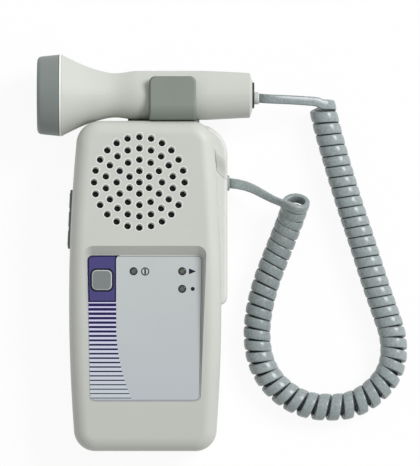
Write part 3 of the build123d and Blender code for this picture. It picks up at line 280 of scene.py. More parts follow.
looks = {
    "shell_plastic": dict(dark=(196, 198, 192), light=(202, 204, 198), smooth=0.42, rough=0.5, bump=0.18),
    "probe_plastic": dict(dark=(195, 197, 191), light=(201, 203, 197), smooth=0.5, rough=0.58, bump=0.1,
                          shine=0.3),
    "face_plastic": dict(dark=(119, 127, 124), light=(128, 135, 131), smooth=0.45, rough=0.55),
    "clip_plastic": dict(dark=(126, 134, 126), light=(134, 142, 134), smooth=0.45, rough=0.55),
    "button_plastic": dict(dark=(114, 122, 122), light=(122, 130, 129), smooth=0.4, rough=0.5),
    "key_rubber": dict(dark=(92, 98, 96), light=(102, 108, 106), smooth=0.6, rough=0.75),
    "bezel_plastic": dict(dark=(104, 110, 106), light=(112, 118, 114), smooth=0.5, rough=0.6),
    "label_print": dict(dark=(187, 192, 192), light=(194, 199, 199), smooth=0.35, rough=0.45, bump=0.06),
    "black_plastic": dict(dark=(26, 27, 30), light=(34, 35, 38), smooth=0.35, rough=0.5),
    "collar_plastic": dict(dark=(196, 200, 196), light=(206, 210, 206), smooth=0.4, rough=0.5),
    "lamp_lens": dict(dark=(26, 30, 29), light=(34, 38, 36), smooth=0.15, rough=0.25, coat=0.6),
    "circuit_board": dict(dark=(22, 84, 52), light=(34, 104, 66), smooth=0.3, rough=0.45, cloud=400.0),
    "metal_switch": dict(dark=(168, 170, 172), light=(190, 192, 194), metal=0.9, smooth=0.3, rough=0.42),
    "steel": dict(dark=(160, 163, 166), light=(182, 185, 188), metal=1.0, smooth=0.28, rough=0.4),
    "screen_cloth": dict(dark=(22, 24, 26), light=(34, 36, 38), smooth=0.8, rough=0.95, sheen=0.2),
    "paper_cone": dict(dark=(38, 36, 35), light=(56, 53, 50), smooth=0.8, rough=0.95, grain=1500.0, bump=0.4),
    "foam": dict(dark=(34, 34, 36), light=(52, 52, 54), smooth=0.9, rough=1.0, grain=1800.0, bump=0.8),
    "battery_jacket": dict(dark=(48, 52, 58), light=(58, 62, 68), metal=0.3, smooth=0.3, rough=0.4),
    "crystal_ceramic": dict(dark=(214, 206, 186), light=(228, 220, 202), smooth=0.3, rough=0.45),
    "backing_resin": dict(dark=(70, 60, 44), light=(92, 80, 58), smooth=0.5, rough=0.7),
    "wire_jacket": dict(dark=(120, 24, 22), light=(146, 34, 30), smooth=0.35, rough=0.5),
    "cord_jacket": dict(dark=(114, 124, 125), light=(170, 180, 180), smooth=0.18, rough=0.36, cloud=900.0,
                        bump=0.14, shine=0.48),
    "gland_rubber": dict(dark=(150, 158, 156), light=(160, 168, 166), smooth=0.5, rough=0.65),
}
finishes = {slot: finish(slot, look) for slot, look in looks.items()}
for node in nodes.values():
    slot = node.data.materials[0].name.split(".")[0]
    node.data.materials[0] = finishes[slot]
# the back shell with its pod is a paler copy of the front's plastic: painted light, where the pod catches
# more light than the front
podPaintedLightLook = dict(looks["shell_plastic"], dark=(208, 209, 205), light=(213, 214, 210))
finishes["pod_painted_light"] = finish("pod_painted_light", podPaintedLightLook)
nodes["rear_shell"].data.materials[0] = finishes["pod_painted_light"]


def colourOver(mat, colour, share):
    # lays a second colour over a finish, as far as the share goes
    tree = mat.node_tree
    plain = tree.nodes["Principled BSDF"].inputs["Base Color"]
    tree.links.new(mixColours(tree, share, plain.links[0].from_socket, tone(*colour)), plain)


def colourWhere(name, base, colour, test):
    # a finish with a second colour where the test gives 1, and part of it where it gives less
    mat = finish(name, base)
    tree = mat.node_tree
    colourOver(mat, colour, test(calcFor(tree), *objectPlace(tree)))
    finishes[name] = mat
    return mat


# second colours: fine edges, a painted highlight on the button's rim, the spots of the lamps, a painted
# shadow on the clip's flap, and painted shade that deepens towards a foot
accents = {
    "joint": -36.3,  # where the face cap meets the probe's shell
    "lip": 0.62, "lipColour": (250, 251, 249),  # the light line on the shell's side of it
    "seam": 0.3, "seamColour": (72, 80, 76),  # and the dark one on the cap's
    # the power button's middle, half its width, its corner, and the breadth and colour of the painted
    # highlight along its rim
    "button": (-18.3, 2.6), "half": 4.25, "corner": 2.1, "rim": 0.42, "rimHighlightColour": (186, 190, 190),
    "lamps": [(-4.9, 6.3), (15.65, 6.3), (15.65, -1.15)], "spot": 0.85, "spotColour": (76, 82, 78),
    # the clip's flap without its painted edge shadow, how high its face starts, and where and how fast the
    # painted shade at its foot deepens
    "flap": (11.9, 74.1), "flapHalves": (9.6, 14.2), "flapCorner": 2.2, "flapBack": 28.5,
    "flapFoot": 76.9, "flapFade": 5.6, "flapShadeColour": (98, 106, 98),
    # where the painted shade on the front and its label starts and is deepest, and its colour on each
    "shadeFrom": 10.0, "shadeTo": -66.0, "footShadeColour": (188, 190, 184), "labelShadeColour": (179, 184, 190),
}


def lipTest(calc, x, y, z):
    return calc("LESS_THAN", x, (accents["joint"] + accents["lip"]) * mm)


def seamTest(calc, x, y, z):
    return calc("GREATER_THAN", x, (accents["joint"] - accents["seam"]) * mm)


def outsideRound(calc, x, y, centre, halves, corner):
    # 1 outside a rectangle with rounded corners
    past = []
    for value, middle, half in zip((x, y), centre, halves):
        off = calc("ABSOLUTE", calc("SUBTRACT", value, middle * mm))
        past.append(calc("MAXIMUM", calc("SUBTRACT", off, (half - corner) * mm), 0.0))
    reach = calc("SQRT", calc("ADD", *[calc("MULTIPLY", value, value) for value in past]))
    return calc("GREATER_THAN", reach, corner * mm)


def rimHighlightTest(calc, x, y, z):
    # the button's rim, where a highlight is painted
    half = accents["half"] - accents["rim"]
    return outsideRound(calc, x, y, accents["button"], (half, half), accents["corner"] - accents["rim"])


def flapShadeTest(calc, x, y, z):
    # the clip's flap gets a painted shadow line on its left and top, and painted shade that deepens at its
    # foot
    outline = outsideRound(calc, x, y, accents["flap"], accents["flapHalves"], accents["flapCorner"])
    depth = calc("DIVIDE", calc("SUBTRACT", accents["flapFoot"] * mm, y), accents["flapFade"] * mm)
    dark = calc("MAXIMUM", outline, calc("MINIMUM", depth, 1.0))
    return calc("MULTIPLY", dark, calc("GREATER_THAN", z, accents["flapBack"] * mm))


def footShadeTest(calc, x, y, z):
    # the front and its label get painted shade that deepens towards their foot
    run = accents["shadeFrom"] - accents["shadeTo"]
    return calc("DIVIDE", calc("SUBTRACT", accents["shadeFrom"] * mm, y), run * mm)


def spotTest(calc, x, y, z):
    # the lit middle of each lamp
    nearest = 1.0  # square metres, further off than any lamp
    for lampX, lampY in accents["lamps"]:
        offX, offY = calc("SUBTRACT", x, lampX * mm), calc("SUBTRACT", y, lampY * mm)
        reach = calc("ADD", calc("MULTIPLY", offX, offX), calc("MULTIPLY", offY, offY))
        nearest = calc("MINIMUM", nearest, reach)
    return calc("LESS_THAN", nearest, (accents["spot"] * mm) ** 2)


# the nodes, the finish that each has, its second colour and where that lies
edged = (
    (("probe_shell",), "probe_plastic", "lipColour", lipTest),
    (("probe_face",), "face_plastic", "seamColour", seamTest),
    (("power_button",), "button_plastic", "rimHighlightColour", rimHighlightTest),
    (("power_led", "play_led", "record_led"), "lamp_lens", "spotColour", spotTest),
    (("front_shell",), "shell_plastic", "footShadeColour", footShadeTest),
    (("front_label",), "label_print", "labelShadeColour", footShadeTest),
    (("probe_clip",), "clip_plastic", "flapShadeColour", flapShadeTest),
)
for names, slot, colour, test in edged:
    mat = colourWhere(slot + "_edged", looks[slot], accents[colour], test)
    for name in names:
        nodes[name].data.materials[0] = mat
print("finishes:", len(finishes))


# one flat strap runs from the gland through the coil to the probe
cord = {
    "wide": 4.7,
    "slim": 4.3,
    "share": 0.965,  # of the spacing between two turns that the strap may fill
    "thick": 2.1,
    "edgeRound": 0.7,
    "crown": 0.12,
    "ring": 4.72,  # from the coil's middle line to the strap's
    "endRing": 4.95,
    "endTurns": 1.3,  # how many turns before the unit's end the ring starts to grow
    "perTurn": 16,
    "unitLead": [
        (35.0, 43.7, 9.6), (39.4, 43.4, 9.6), (45.2, 41.6, 10.4), (50.0, 38.9, 11.8), (54.3, 36.6, 13.8),
        (57.4, 35.4, 16.0),
    ],
    "unitWide": [4.3, 4.3, 3.9, 3.5, 3.2, 3.0],
    "unitSides": [  # which way the strap's width runs at each of those points
        (0, 1, 0), (0, 1, 0), (0.1, 0.9, 0.1), (0.2, 0.85, 0.2), (0.3, 0.75, 0.35), (0.3, 0.6, 0.6),
    ],
    "probeLead": [
        (73.4, 78.2, 11.3), (69.0, 78.5, 12.2), (61.0, 79.0, 15.4), (53.0, 79.2, 18.0), (48.0, 79.6, 18.0),
    ],
    "probeWide": [4.0, 3.9, 3.9, 3.9, 3.9],
    "probeSides": [(-0.2, 1, 0), (-0.1, 1, 0), (-0.05, 1, 0), (0, 1, 0), (0, 1, 0)],
    # the coil's middle line from the probe's end, each with the spacing of the turns there
    "route": [
        (75.0, 77.0, 5.9, 5.5), (76.1, 71.0, 5.9, 5.1), (80.3, 55.8, 5.85, 4.5),
        (86.4, 35.4, 5.85, 4.4), (91.6, 20.1, 5.85, 4.4), (97.6, 1.0, 5.85, 4.4),
        (101.8, -11.0, 5.85, 4.4), (105.4, -21.2, 5.85, 4.5), (105.6, -31.8, 5.85, 4.7),
        (102.2, -40.0, 5.85, 5.0), (95.0, -47.1, 5.85, 5.4), (86.3, -51.2, 5.85, 5.6),
        (78.4, -51.7, 5.85, 5.7), (70.1, -51.2, 5.85, 5.6), (61.5, -47.8, 5.85, 5.2),
        (53.3, -40.8, 5.85, 4.9), (48.5, -31.7, 5.85, 4.7), (47.1, -21.0, 5.85, 4.7),
        (48.1, -10.5, 5.85, 4.7), (51.0, 1.0, 5.85, 4.7), (54.8, 11.0, 6.0, 4.65),
        (58.6, 20.4, 7.2, 4.65), (61.3, 27.4, 9.7, 4.75), (63.1, 32.6, 13.1, 4.85),
        (64.0, 36.4, 16.8, 4.85),
    ],
    "routeSteps": 24,  # points read back for each point of the route, and below for each one of the strap
    "strapSteps": 2,
    "headReach": 1.5,  # how far along the coil's line its heading, its bend and its end are read
    "bendReach": 3.0,
    "endReach": 0.5,
    "leave": (-0.44, 0.78, -0.45),  # the strap's direction where it leaves the coil for the unit
    "flankFrom": 0.55, "flankShadeColour": (62, 70, 70),  # how far round its edge a turn starts to take painted shade, and the shade's colour
    "bareTurns": 1.1,  # how many at the unit's end have no painted shade on their sides
    "leadShade": 0.2, "leadFade": 6,  # painted shade on the probe's lead, which takes so many points to reach it
    "legTurns": 16.0, "legShade": 0.24,  # painted shade on the turns nearest the unit
}


def coilPoints():
    # walks along the coil's middle line and turns the strap round it, left-handed
    route = [place(*p[:3]) for p in cord["route"]]
    line = [p / mm for p in splinePoints("coilRoute", route, cord["routeSteps"])]
    far = [0.0]
    for a, b in zip(line, line[1:]):
        far.append(far[-1] + (b - a).length)
    marks = []
    for point in cord["route"]:
        nearest = min(range(len(line)), key=lambda i: (line[i] - Vector(point[:3])).length)
        marks.append((far[nearest], point[3]))

    def along(s):
        s = min(max(s, 0.0), far[-1])
        i = max(k for k in range(len(far) - 1) if far[k] <= s)
        f = (s - far[i]) / max(far[i + 1] - far[i], tiny)
        return line[i].lerp(line[i + 1], f)

    def heading(s):
        return (along(s + cord["headReach"]) - along(s - cord["headReach"])).normalized()

    def bent(s):
        # how much closer the turns stand on the inside of a bend
        turned = (heading(s + cord["bendReach"]) - heading(s - cord["bendReach"])).length
        return 1 - (cord["ring"] + cord["thick"] / 2) * turned / (2 * cord["bendReach"])

    def spacing(s):
        for (a, wide), (b, nextWide) in zip(marks, marks[1:]):
            if a <= s <= b:
                return wide + (nextWide - wide) * (s - a) / max(b - a, tiny)
        return marks[-1][1]

    def frameAt(s):
        # the line's point and heading, and the two directions square to that
        ahead = heading(s)
        sky = Vector((0, 0, 1))
        up = (sky - sky.dot(ahead) * ahead).normalized()
        return along(s), ahead, up, ahead.cross(up)

    def walk(stretch):
        steps, s = [], 0.0
        while s < far[-1]:
            steps.append(s)
            s += spacing(s) * stretch / cord["perTurn"]
        return steps

    # the turns end where the strap's own direction is nearest to the lead's
    endUp, endSide = frameAt(far[-1] - cord["endReach"])[2:]
    leave = Vector(cord["leave"]).normalized()

    def nearness(degrees):
        a = math.radians(degrees)
        return (math.sin(a) * endUp - math.cos(a) * endSide).dot(leave)

    best = max(range(360), key=nearness)
    whole = len(walk(1.0)) / cord["perTurn"]
    stretch = whole / (math.floor(whole) + (1 - best / 360))
    steps = walk(stretch)
    rings, turns, widths = [], [], []
    for k, s in enumerate(steps):
        angle = -2 * math.pi * k / cord["perTurn"]
        centre, ahead, up, side = frameAt(s)
        ending = clamp((k - len(steps)) / cord["perTurn"] + cord["endTurns"])
        reach = cord["ring"] + (cord["endRing"] - cord["ring"]) * ending
        rings.append(centre + reach * (math.cos(angle) * up + math.sin(angle) * side))
        turns.append(ahead)
        room = cord["share"] * bent(s) * spacing(s) * stretch
        widths.append(min(cord["wide"], max(room, cord["slim"])))
    print("coil: %.2f turns on a middle line of %.1f mm" % (len(steps) / cord["perTurn"], far[-1]))
    return rings, turns, widths


def flankShadeLook():
    # the cord's finish, with painted shade where the strap's shade attribute says so
    mat = finishes["cord_jacket"]
    shade = addNode(mat.node_tree, "ShaderNodeAttribute", {"attribute_name": "shade"})
    colourOver(mat, cord["flankShadeColour"], shade.outputs["Fac"])
    return mat


def strapSection(width):
    # a flat strap's section: rounded edges and a slight crown on each face
    soft, high = cord["edgeRound"], cord["thick"] / 2
    outline = []
    for sideX, sideZ, start in ((1, 1, 0), (-1, 1, 90), (-1, -1, 180), (1, -1, 270)):
        for degrees in range(start, start + 91, 30):
            a = math.radians(degrees)
            outline.append((sideX * (width / 2 - soft) + soft * math.cos(a),
                            sideZ * (high - soft) + soft * math.sin(a)))
        if sideX == sideZ:
            outline.append((0.0, sideX * (high + cord["crown"])))
    return outline


def buildCord():
    rings, turns, widths = coilPoints()
    unit = [Vector(p) for p in cord["unitLead"]]
    probe = [Vector(p) for p in cord["probeLead"]]
    points = unit + rings[::-1] + probe
    across = [-Vector(v).normalized() for v in cord["unitSides"]]
    across += [-t for t in turns[::-1]] + [Vector(v).normalized() for v in cord["probeSides"]]
    widths = cord["unitWide"] + widths[::-1] + cord["probeWide"]
    fine = cord["strapSteps"]
    path = splinePoints("strapLine", [p * mm for p in points], fine)
    edge = splinePoints("strapEdge", [(p + v) * mm for p, v in zip(points, across)], fine)
    wide = splinePoints("strapWidth", [Vector((i, 0, w)) * mm for i, w in enumerate(widths)], fine)
    wide = [p.z / mm for p in wide]
    count = len(strapSection(cord["slim"]))
    bare = fine * (len(unit) + cord["bareTurns"] * cord["perTurn"])
    last = len(path) - fine * len(probe)
    verts, faces, shades = [], [], []
    for i, centre in enumerate(path):
        ahead = (path[min(i + 1, len(path) - 1)] - path[max(i - 1, 0)]).normalized()
        side = edge[i] - path[i]
        side = (side - side.dot(ahead) * ahead).normalized()
        up = ahead.cross(side)
        outline = strapSection(wide[i])
        verts += [centre + (a * side + b * up) * mm for a, b in outline]
        # painted shade on the sides between two turns, none on those that show at the coil's end and on the
        # leads
        full = clamp((i - bare) / cord["perTurn"]) if i < last else 0.0
        # the leg that climbs to the unit and the lead to the probe get painted shade, darker than the rest
        turn = (i / fine - len(unit)) / cord["perTurn"] / cord["legTurns"]
        whole = cord["legShade"] * clamp(2 - abs(4 * turn - 2))
        whole = max(whole, cord["leadShade"] * clamp((i - last) / cord["leadFade"]))
        for a, _ in outline:
            flank = (abs(a) - wide[i] / 2) / cord["edgeRound"] + 1 - cord["flankFrom"]
            shades.append(max(max(flank, 0.0) / (1 - cord["flankFrom"]) * full, whole))
    for i in range(len(path) - 1):
        for j in range(count):
            k = (j + 1) % count
            faces.append((i * count + j, i * count + k, (i + 1) * count + k, (i + 1) * count + j))
    faces.append(tuple(range(count))[::-1])
    faces.append(tuple((len(path) - 1) * count + j for j in range(count)))
    piece = meshPiece("cordStrap", verts, faces)
    faceOut(piece.data)
    piece.data.attributes.new("shade", "FLOAT", "POINT").data.foreach_set("value", shades)
    piece.data.materials.append(flankShadeLook())
    length = sum((b - a).length for a, b in zip(path, path[1:]))
    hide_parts("unit_lead", "curly_cord", "probe_lead")
    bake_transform(piece)
    print("cord: %.3f m, %d points" % (length, len(path)))


buildCord()


panel = {
    "top": 13.1, "foot": -48.65, "half": 24.45, "taper": 1.2, "corner": 2.2, "face": 30.05,
    "margin": 0.05,  # that the prints keep from the label's edge
    "inkHeight": 0.02, "inkSink": 0.01,
    "weld": 1e-7,  # metres, points closer than this become one
    "blockRight": -12.27, "blockFoot": -6.75, "sweep": 2.0, "sweepSteps": 8, "edgeLine": 0.6,
    "button": accents["button"], "holeSize": 9.1, "holeCorner": 2.1, "outline": 0.42,
    "lamps": accents["lamps"], "lampRing": (1.6, 1.72),
    "power": (0.0, 6.2), "powerRing": (1.28, 1.74), "powerBar": (0.34, 1.15),
    "play": (18.5, 6.27, 3.0, 1.25),
    "record": (20.1, -1.15, 0.85),
    "line": 0.22, "lineInset": 0.35,
    "edgeLift": 0.008, "outlineLift": 0.004, "lineLift": -0.014, "groundLift": -0.006,
    "indigo": (62, 56, 113), "darkInk": (30, 30, 48), "stripeInk": (40, 34, 86), "edgeInk": (20, 15, 60),
    "stripeFoot": (14, 22, 34), "lineInk": (78, 84, 88),
    "paleInk": (210, 206, 236), "paleFoot": (192, 202, 206),
    "uneven": 7,  # how far an ink's colour strays to either side
    "matt": 0.1,
}


def inkLook(name, colour, shine=0.4):
    # screen printed ink: a solid colour with a faint unevenness
    dark = [max(v - panel["uneven"], 0) for v in colour]
    light = [min(v + panel["uneven"], 255) for v in colour]
    return finish(name, dict(dark=dark, light=light, smooth=0.37, rough=0.47, cloud=900.0, grain=5200.0,
                             bump=0.05, shine=shine))


def fadeDown(mat, high, low):
    # lets a print run from one colour under the block to another at the label's foot
    tree = mat.node_tree
    run = addNode(tree, "ShaderNodeMapRange", From_Min=panel["blockFoot"] * mm, From_Max=panel["foot"] * mm)
    tree.links.new(objectPlace(tree)["Y"], run.inputs["Value"])
    blend = mixColours(tree, run.outputs["Result"], tone(*high), tone(*low))
    tree.links.new(blend, tree.nodes["Principled BSDF"].inputs["Base Color"])


def circleLoop(x, y, radius, count=40):
    turn = [2 * math.pi * i / count for i in range(count)]
    return [(x + radius * math.cos(a), y + radius * math.sin(a)) for a in turn]


def roundLoop(corners, radii, count=7):
    # a closed outline through these corners, each rounded with its own radius
    loop = []
    for i, (corner, radius) in enumerate(zip(corners, radii)):
        here, before, after = Vector(corner), Vector(corners[i - 1]), Vector(corners[(i + 1) % len(corners)])
        a, b = (before - here).normalized(), (after - here).normalized()
        if radius <= 0:
            loop.append(tuple(here))
            continue
        half = a.angle(b) / 2
        start, end = here + a * radius / math.tan(half), here + b * radius / math.tan(half)
        middle = here + (a + b).normalized() * radius / math.sin(half)
        for k in range(count + 1):
            spoke = (start - middle).lerp(end - middle, k / count)
            loop.append(tuple(middle + spoke.normalized() * radius))
    return loop


def labelSide(y, inset=0.0):
    # how far from the middle the label's slanting side is at this height
    return panel["half"] - panel["taper"] * (panel["top"] - y) / (panel["top"] - panel["foot"]) - inset


def labelLoop(inset):
    top, foot = panel["top"] - inset, panel["foot"] + inset
    corners = [(labelSide(top, inset), top), (-labelSide(top, inset), top),
               (-labelSide(foot, inset), foot), (labelSide(foot, inset), foot)]
    return roundLoop(corners, [panel["corner"] - inset] * 4)


def printPiece(name, loops, ink, lift=0.0):
    # loops inside a loop are holes in it; the ink lies on the label
    curve = bpy.data.curves.new(name, "CURVE")
    curve.dimensions = "2D"
    curve.fill_mode = "BOTH"
    curve.extrude = (panel["inkHeight"] + panel["inkSink"]) / 2 * mm
    for loop in loops:
        spline = curve.splines.new("POLY")
        spline.points.add(len(loop) - 1)
        for slot, (x, y) in zip(spline.points, loop):
            slot.co = (x * mm, y * mm, 0, 1)
        spline.use_cyclic_u = True
    carrier = bpy.data.objects.new(name, curve)
    scene.collection.objects.link(carrier)
    bpy.context.view_layer.update()
    mesh = bpy.data.meshes.new_from_object(carrier.evaluated_get(bpy.context.evaluated_depsgraph_get()))
    bpy.data.objects.remove(carrier)
    middle = panel["face"] + lift + (panel["inkHeight"] - panel["inkSink"]) / 2
    bm = bmesh.new()
    bm.from_mesh(mesh)
    bmesh.ops.remove_doubles(bm, verts=bm.verts, dist=panel["weld"])
    bmesh.ops.translate(bm, verts=bm.verts, vec=(0, 0, middle * mm))
    bmesh.ops.recalc_face_normals(bm, faces=bm.faces)
    bm.to_mesh(mesh)
    bm.free()
    mesh.materials.clear()
    mesh.materials.append(ink)
    piece = bpy.data.objects.new(name, mesh)
    scene.collection.objects.link(piece)
    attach(piece, "unit")
    return piece


def blockLoop(inset):
    # the indigo block's outline, drawn in by the inset: it follows the label's corner on the left, and
    # leaves the pale field a round corner on the right
    foot, margin, sweep = panel["blockFoot"] + inset, panel["margin"] + inset, panel["sweep"]
    turnX, turnY = panel["blockRight"] + sweep, panel["top"] - panel["margin"] - sweep
    reach = sweep + inset
    loop = [p for p in labelLoop(margin) if p[0] < 0 and p[1] > foot]
    loop += [(-labelSide(foot, margin), foot), (panel["blockRight"] - inset, foot)]
    for i in range(panel["sweepSteps"], -1, -1):
        a = math.asin((sweep - inset) / reach) * (1 - i / panel["sweepSteps"])
        loop.append((turnX - reach * math.cos(a), turnY + reach * math.sin(a)))
    return loop


def buttonLoop(reach, corner):
    # a rounded square about the power button
    x, y = panel["button"]
    corners = [(x + a * reach, y + b * reach) for a, b in ((1, 1), (-1, 1), (-1, -1), (1, -1))]
    return roundLoop(corners, [corner] * 4)


def signLoops():
    # a ring round each lamp, and the signs for power, play and record
    loops = []
    for lampX, lampY in panel["lamps"]:
        loops += [circleLoop(lampX, lampY, radius) for radius in panel["lampRing"][::-1]]
    x, y = panel["power"]
    loops += [circleLoop(x, y, radius) for radius in panel["powerRing"][::-1]]
    wide, tall = panel["powerBar"]
    loops.append([(x + a * wide, y + b * tall) for a, b in ((-1, -1), (1, -1), (1, 1), (-1, 1))])
    x, y, wide, tall = panel["play"]
    loops.append([(x, y - tall), (x + wide, y), (x, y + tall)])
    loops.append(circleLoop(*panel["record"]))
    return loops


stripes = {
    "count": 22, "first": -7.9, "step": 1.875,
    "thick": 1.28, "thin": 0.36, "fade": 0.85,  # from the first stripe to the last, and how fast they thin
    "right": -12.2, "bendFrom": -17.0, "bendOver": 30.1, "bendOut": 6.2,
    "lift": 0.005, "deep": 0.03,
    "groundRows": 24, "groundDrop": 0.02, "groundPast": 0.5,  # of the pale ground that they lie on
}


def groundLoop():
    # the label's edge on the left, and the sweep of the stripes' ends on the right
    foot, margin = panel["blockFoot"], panel["margin"]
    last = stripes["first"] - stripes["step"] * (stripes["count"] - 1) - stripes["groundPast"]
    rows = []
    for i in range(stripes["groundRows"] + 1):
        rows.append(foot - stripes["groundDrop"] + (last - foot) * i / stripes["groundRows"])
    ends = []
    for y in rows:
        below = max((stripes["bendFrom"] - y) / stripes["bendOver"], 0)
        ends.append((stripes["right"] + stripes["bendOut"] * below ** 2, y))
    side = [(-labelSide(rows[0], margin), rows[0])]
    side += [p for p in labelLoop(margin) if p[0] < 0 and last < p[1] < foot]
    return side + ends[::-1]


def newTree(name, inputs):
    # a Geometry Nodes tree with these named inputs, and the sockets that give their values
    tree = bpy.data.node_groups.new(name, "GeometryNodeTree")
    tree.interface.new_socket(name="Geometry", in_out="OUTPUT", socket_type="NodeSocketGeometry")
    for label, kind in inputs:
        tree.interface.new_socket(name=label, in_out="INPUT", socket_type="NodeSocket" + kind)
    return tree, tree.nodes.new("NodeGroupInput").outputs


def endTree(tree, instances, look):
    # makes the instances plain mesh in one finish, which is what the tree gives
    real = tree.nodes.new("GeometryNodeRealizeInstances")
    tree.links.new(instances, real.inputs["Geometry"])
    coat = tree.nodes.new("GeometryNodeSetMaterial")
    coat.inputs["Material"].default_value = look
    tree.links.new(real.outputs["Geometry"], coat.inputs["Geometry"])
    out = tree.nodes.new("NodeGroupOutput")
    tree.links.new(coat.outputs["Geometry"], out.inputs["Geometry"])


def stripeTree(ink):
    # each stripe is a thin bar from the label's slanting edge to the sweep of the right ends
    sizes = ("First", "Step", "Thick", "Thin", "Fade", "Right", "Bend From", "Bend Over", "Bend Out",
             "Top", "Left", "Slant", "Height", "Depth")
    tree, given = newTree("labelStripes", [("Count", "Int")] + [(label, "Float") for label in sizes])
    link = tree.links.new
    calc = calcFor(tree)
    row = tree.nodes.new("GeometryNodeInputIndex").outputs[0]
    y = calc("SUBTRACT", given["First"], calc("MULTIPLY", row, given["Step"]))
    share = calc("DIVIDE", row, calc("SUBTRACT", given["Count"], 1))
    eased = calc("POWER", share, given["Fade"])
    thinner = calc("MULTIPLY", eased, calc("SUBTRACT", given["Thin"], given["Thick"]))
    thick = calc("ADD", given["Thick"], thinner)
    left = calc("ADD", given["Left"], calc("MULTIPLY", given["Slant"], calc("SUBTRACT", given["Top"], y)))
    below = calc("MAXIMUM", calc("DIVIDE", calc("SUBTRACT", given["Bend From"], y), given["Bend Over"]), 0.0)
    right = calc("ADD", given["Right"], calc("MULTIPLY", given["Bend Out"], calc("POWER", below, 2.0)))
    spots = tree.nodes.new("GeometryNodeMeshLine")
    link(given["Count"], spots.inputs["Count"])
    where = tree.nodes.new("ShaderNodeCombineXYZ")
    link(calc("MULTIPLY", calc("ADD", left, right), 0.5), where.inputs["X"])
    link(y, where.inputs["Y"])
    link(given["Height"], where.inputs["Z"])
    spread = tree.nodes.new("GeometryNodeSetPosition")
    link(spots.outputs["Mesh"], spread.inputs["Geometry"])
    link(where.outputs[0], spread.inputs["Position"])
    size = tree.nodes.new("ShaderNodeCombineXYZ")
    link(calc("SUBTRACT", right, left), size.inputs["X"])
    link(thick, size.inputs["Y"])
    link(given["Depth"], size.inputs["Z"])
    bar = tree.nodes.new("GeometryNodeMeshCube")
    bar.inputs["Size"].default_value = (1, 1, 1)
    put = tree.nodes.new("GeometryNodeInstanceOnPoints")
    link(spread.outputs["Geometry"], put.inputs["Points"])
    link(bar.outputs["Mesh"], put.inputs["Instance"])
    link(size.outputs[0], put.inputs["Scale"])
    endTree(tree, put.outputs["Instances"], ink)
    return tree


def fromTree(name, tree, values, ink, base=None):
    # runs a Geometry Nodes tree once and keeps its result as a plain mesh
    carrier = bpy.data.objects.new(name, base or bpy.data.meshes.new(name))
    scene.collection.objects.link(carrier)
    grower = carrier.modifiers.new("grow", "NODES")
    grower.node_group = tree
    for item in tree.interface.items_tree:
        if item.in_out == "INPUT" and item.name in values:
            grower[item.identifier] = values[item.name]
    bpy.context.view_layer.update()
    mesh = bpy.data.meshes.new_from_object(carrier.evaluated_get(bpy.context.evaluated_depsgraph_get()))
    bpy.data.objects.remove(carrier)
    mesh.materials.clear()
    mesh.materials.append(ink)
    piece = bpy.data.objects.new(name, mesh)
    scene.collection.objects.link(piece)
    return piece


def buildStripes(ink):
    values = {
        "Count": stripes["count"], "First": stripes["first"] * mm, "Step": stripes["step"] * mm,
        "Thick": stripes["thick"] * mm, "Thin": stripes["thin"] * mm, "Fade": stripes["fade"],
        "Right": stripes["right"] * mm, "Bend From": stripes["bendFrom"] * mm,
        "Bend Over": stripes["bendOver"] * mm, "Bend Out": stripes["bendOut"] * mm,
        "Top": panel["top"] * mm, "Left": (panel["margin"] - panel["half"]) * mm,
        "Slant": panel["taper"] / (panel["top"] - panel["foot"]),
        "Height": (panel["face"] + stripes["lift"]) * mm, "Depth": stripes["deep"] * mm,
    }
    bars = fromTree("labelStripes", stripeTree(ink), values, ink)
    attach(bars, "unit")


def buildPanel():
    indigo = inkLook("indigoInk", panel["indigo"])
    dark = inkLook("darkInk", panel["darkInk"], panel["matt"])
    striped = inkLook("stripeInk", panel["stripeInk"], panel["matt"])
    fadeDown(striped, panel["stripeInk"], panel["stripeFoot"])
    pale = inkLook("paleInk", panel["paleInk"])
    fadeDown(pale, panel["paleInk"], panel["paleFoot"])
    grey = inkLook("lineInk", panel["lineInk"])
    deep = inkLook("edgeInk", panel["edgeInk"], panel["matt"])
    block = blockLoop(0)
    half, corner = panel["holeSize"] / 2, panel["holeCorner"]
    wide, wideCorner = half + panel["outline"], corner + panel["outline"]
    inset = panel["lineInset"]
    printPiece("blockEdge", [block, blockLoop(panel["edgeLine"])], deep, panel["edgeLift"])
    printPiece("indigoBlock", [block, buttonLoop(wide - panel["margin"], wideCorner)], indigo)
    printPiece("buttonOutline", [buttonLoop(wide, wideCorner), buttonLoop(half, corner)], dark,
               panel["outlineLift"])
    printPiece("panelSigns", signLoops(), dark)
    printPiece("labelLine", [labelLoop(inset), labelLoop(inset + panel["line"])], grey, panel["lineLift"])
    printPiece("stripeGround", [groundLoop()], pale, panel["groundLift"])
    buildStripes(striped)
    print("panel print laid")


buildPanel()


ramp = {
    # its inner and outer side, each from the high end to the low one
    "inner": [(29.4, 57.95), (30.3, 48.5)],
    "outer": [(34.8, 53.67), (34.8, 44.2)],
    "roof": 16.0, "rise": 2.15, "edge": 1.5, "sink": 0.4,
    "across": 14, "edgeSteps": 5, "along": 12,  # rows of faces, and how many of those across make the edge
}


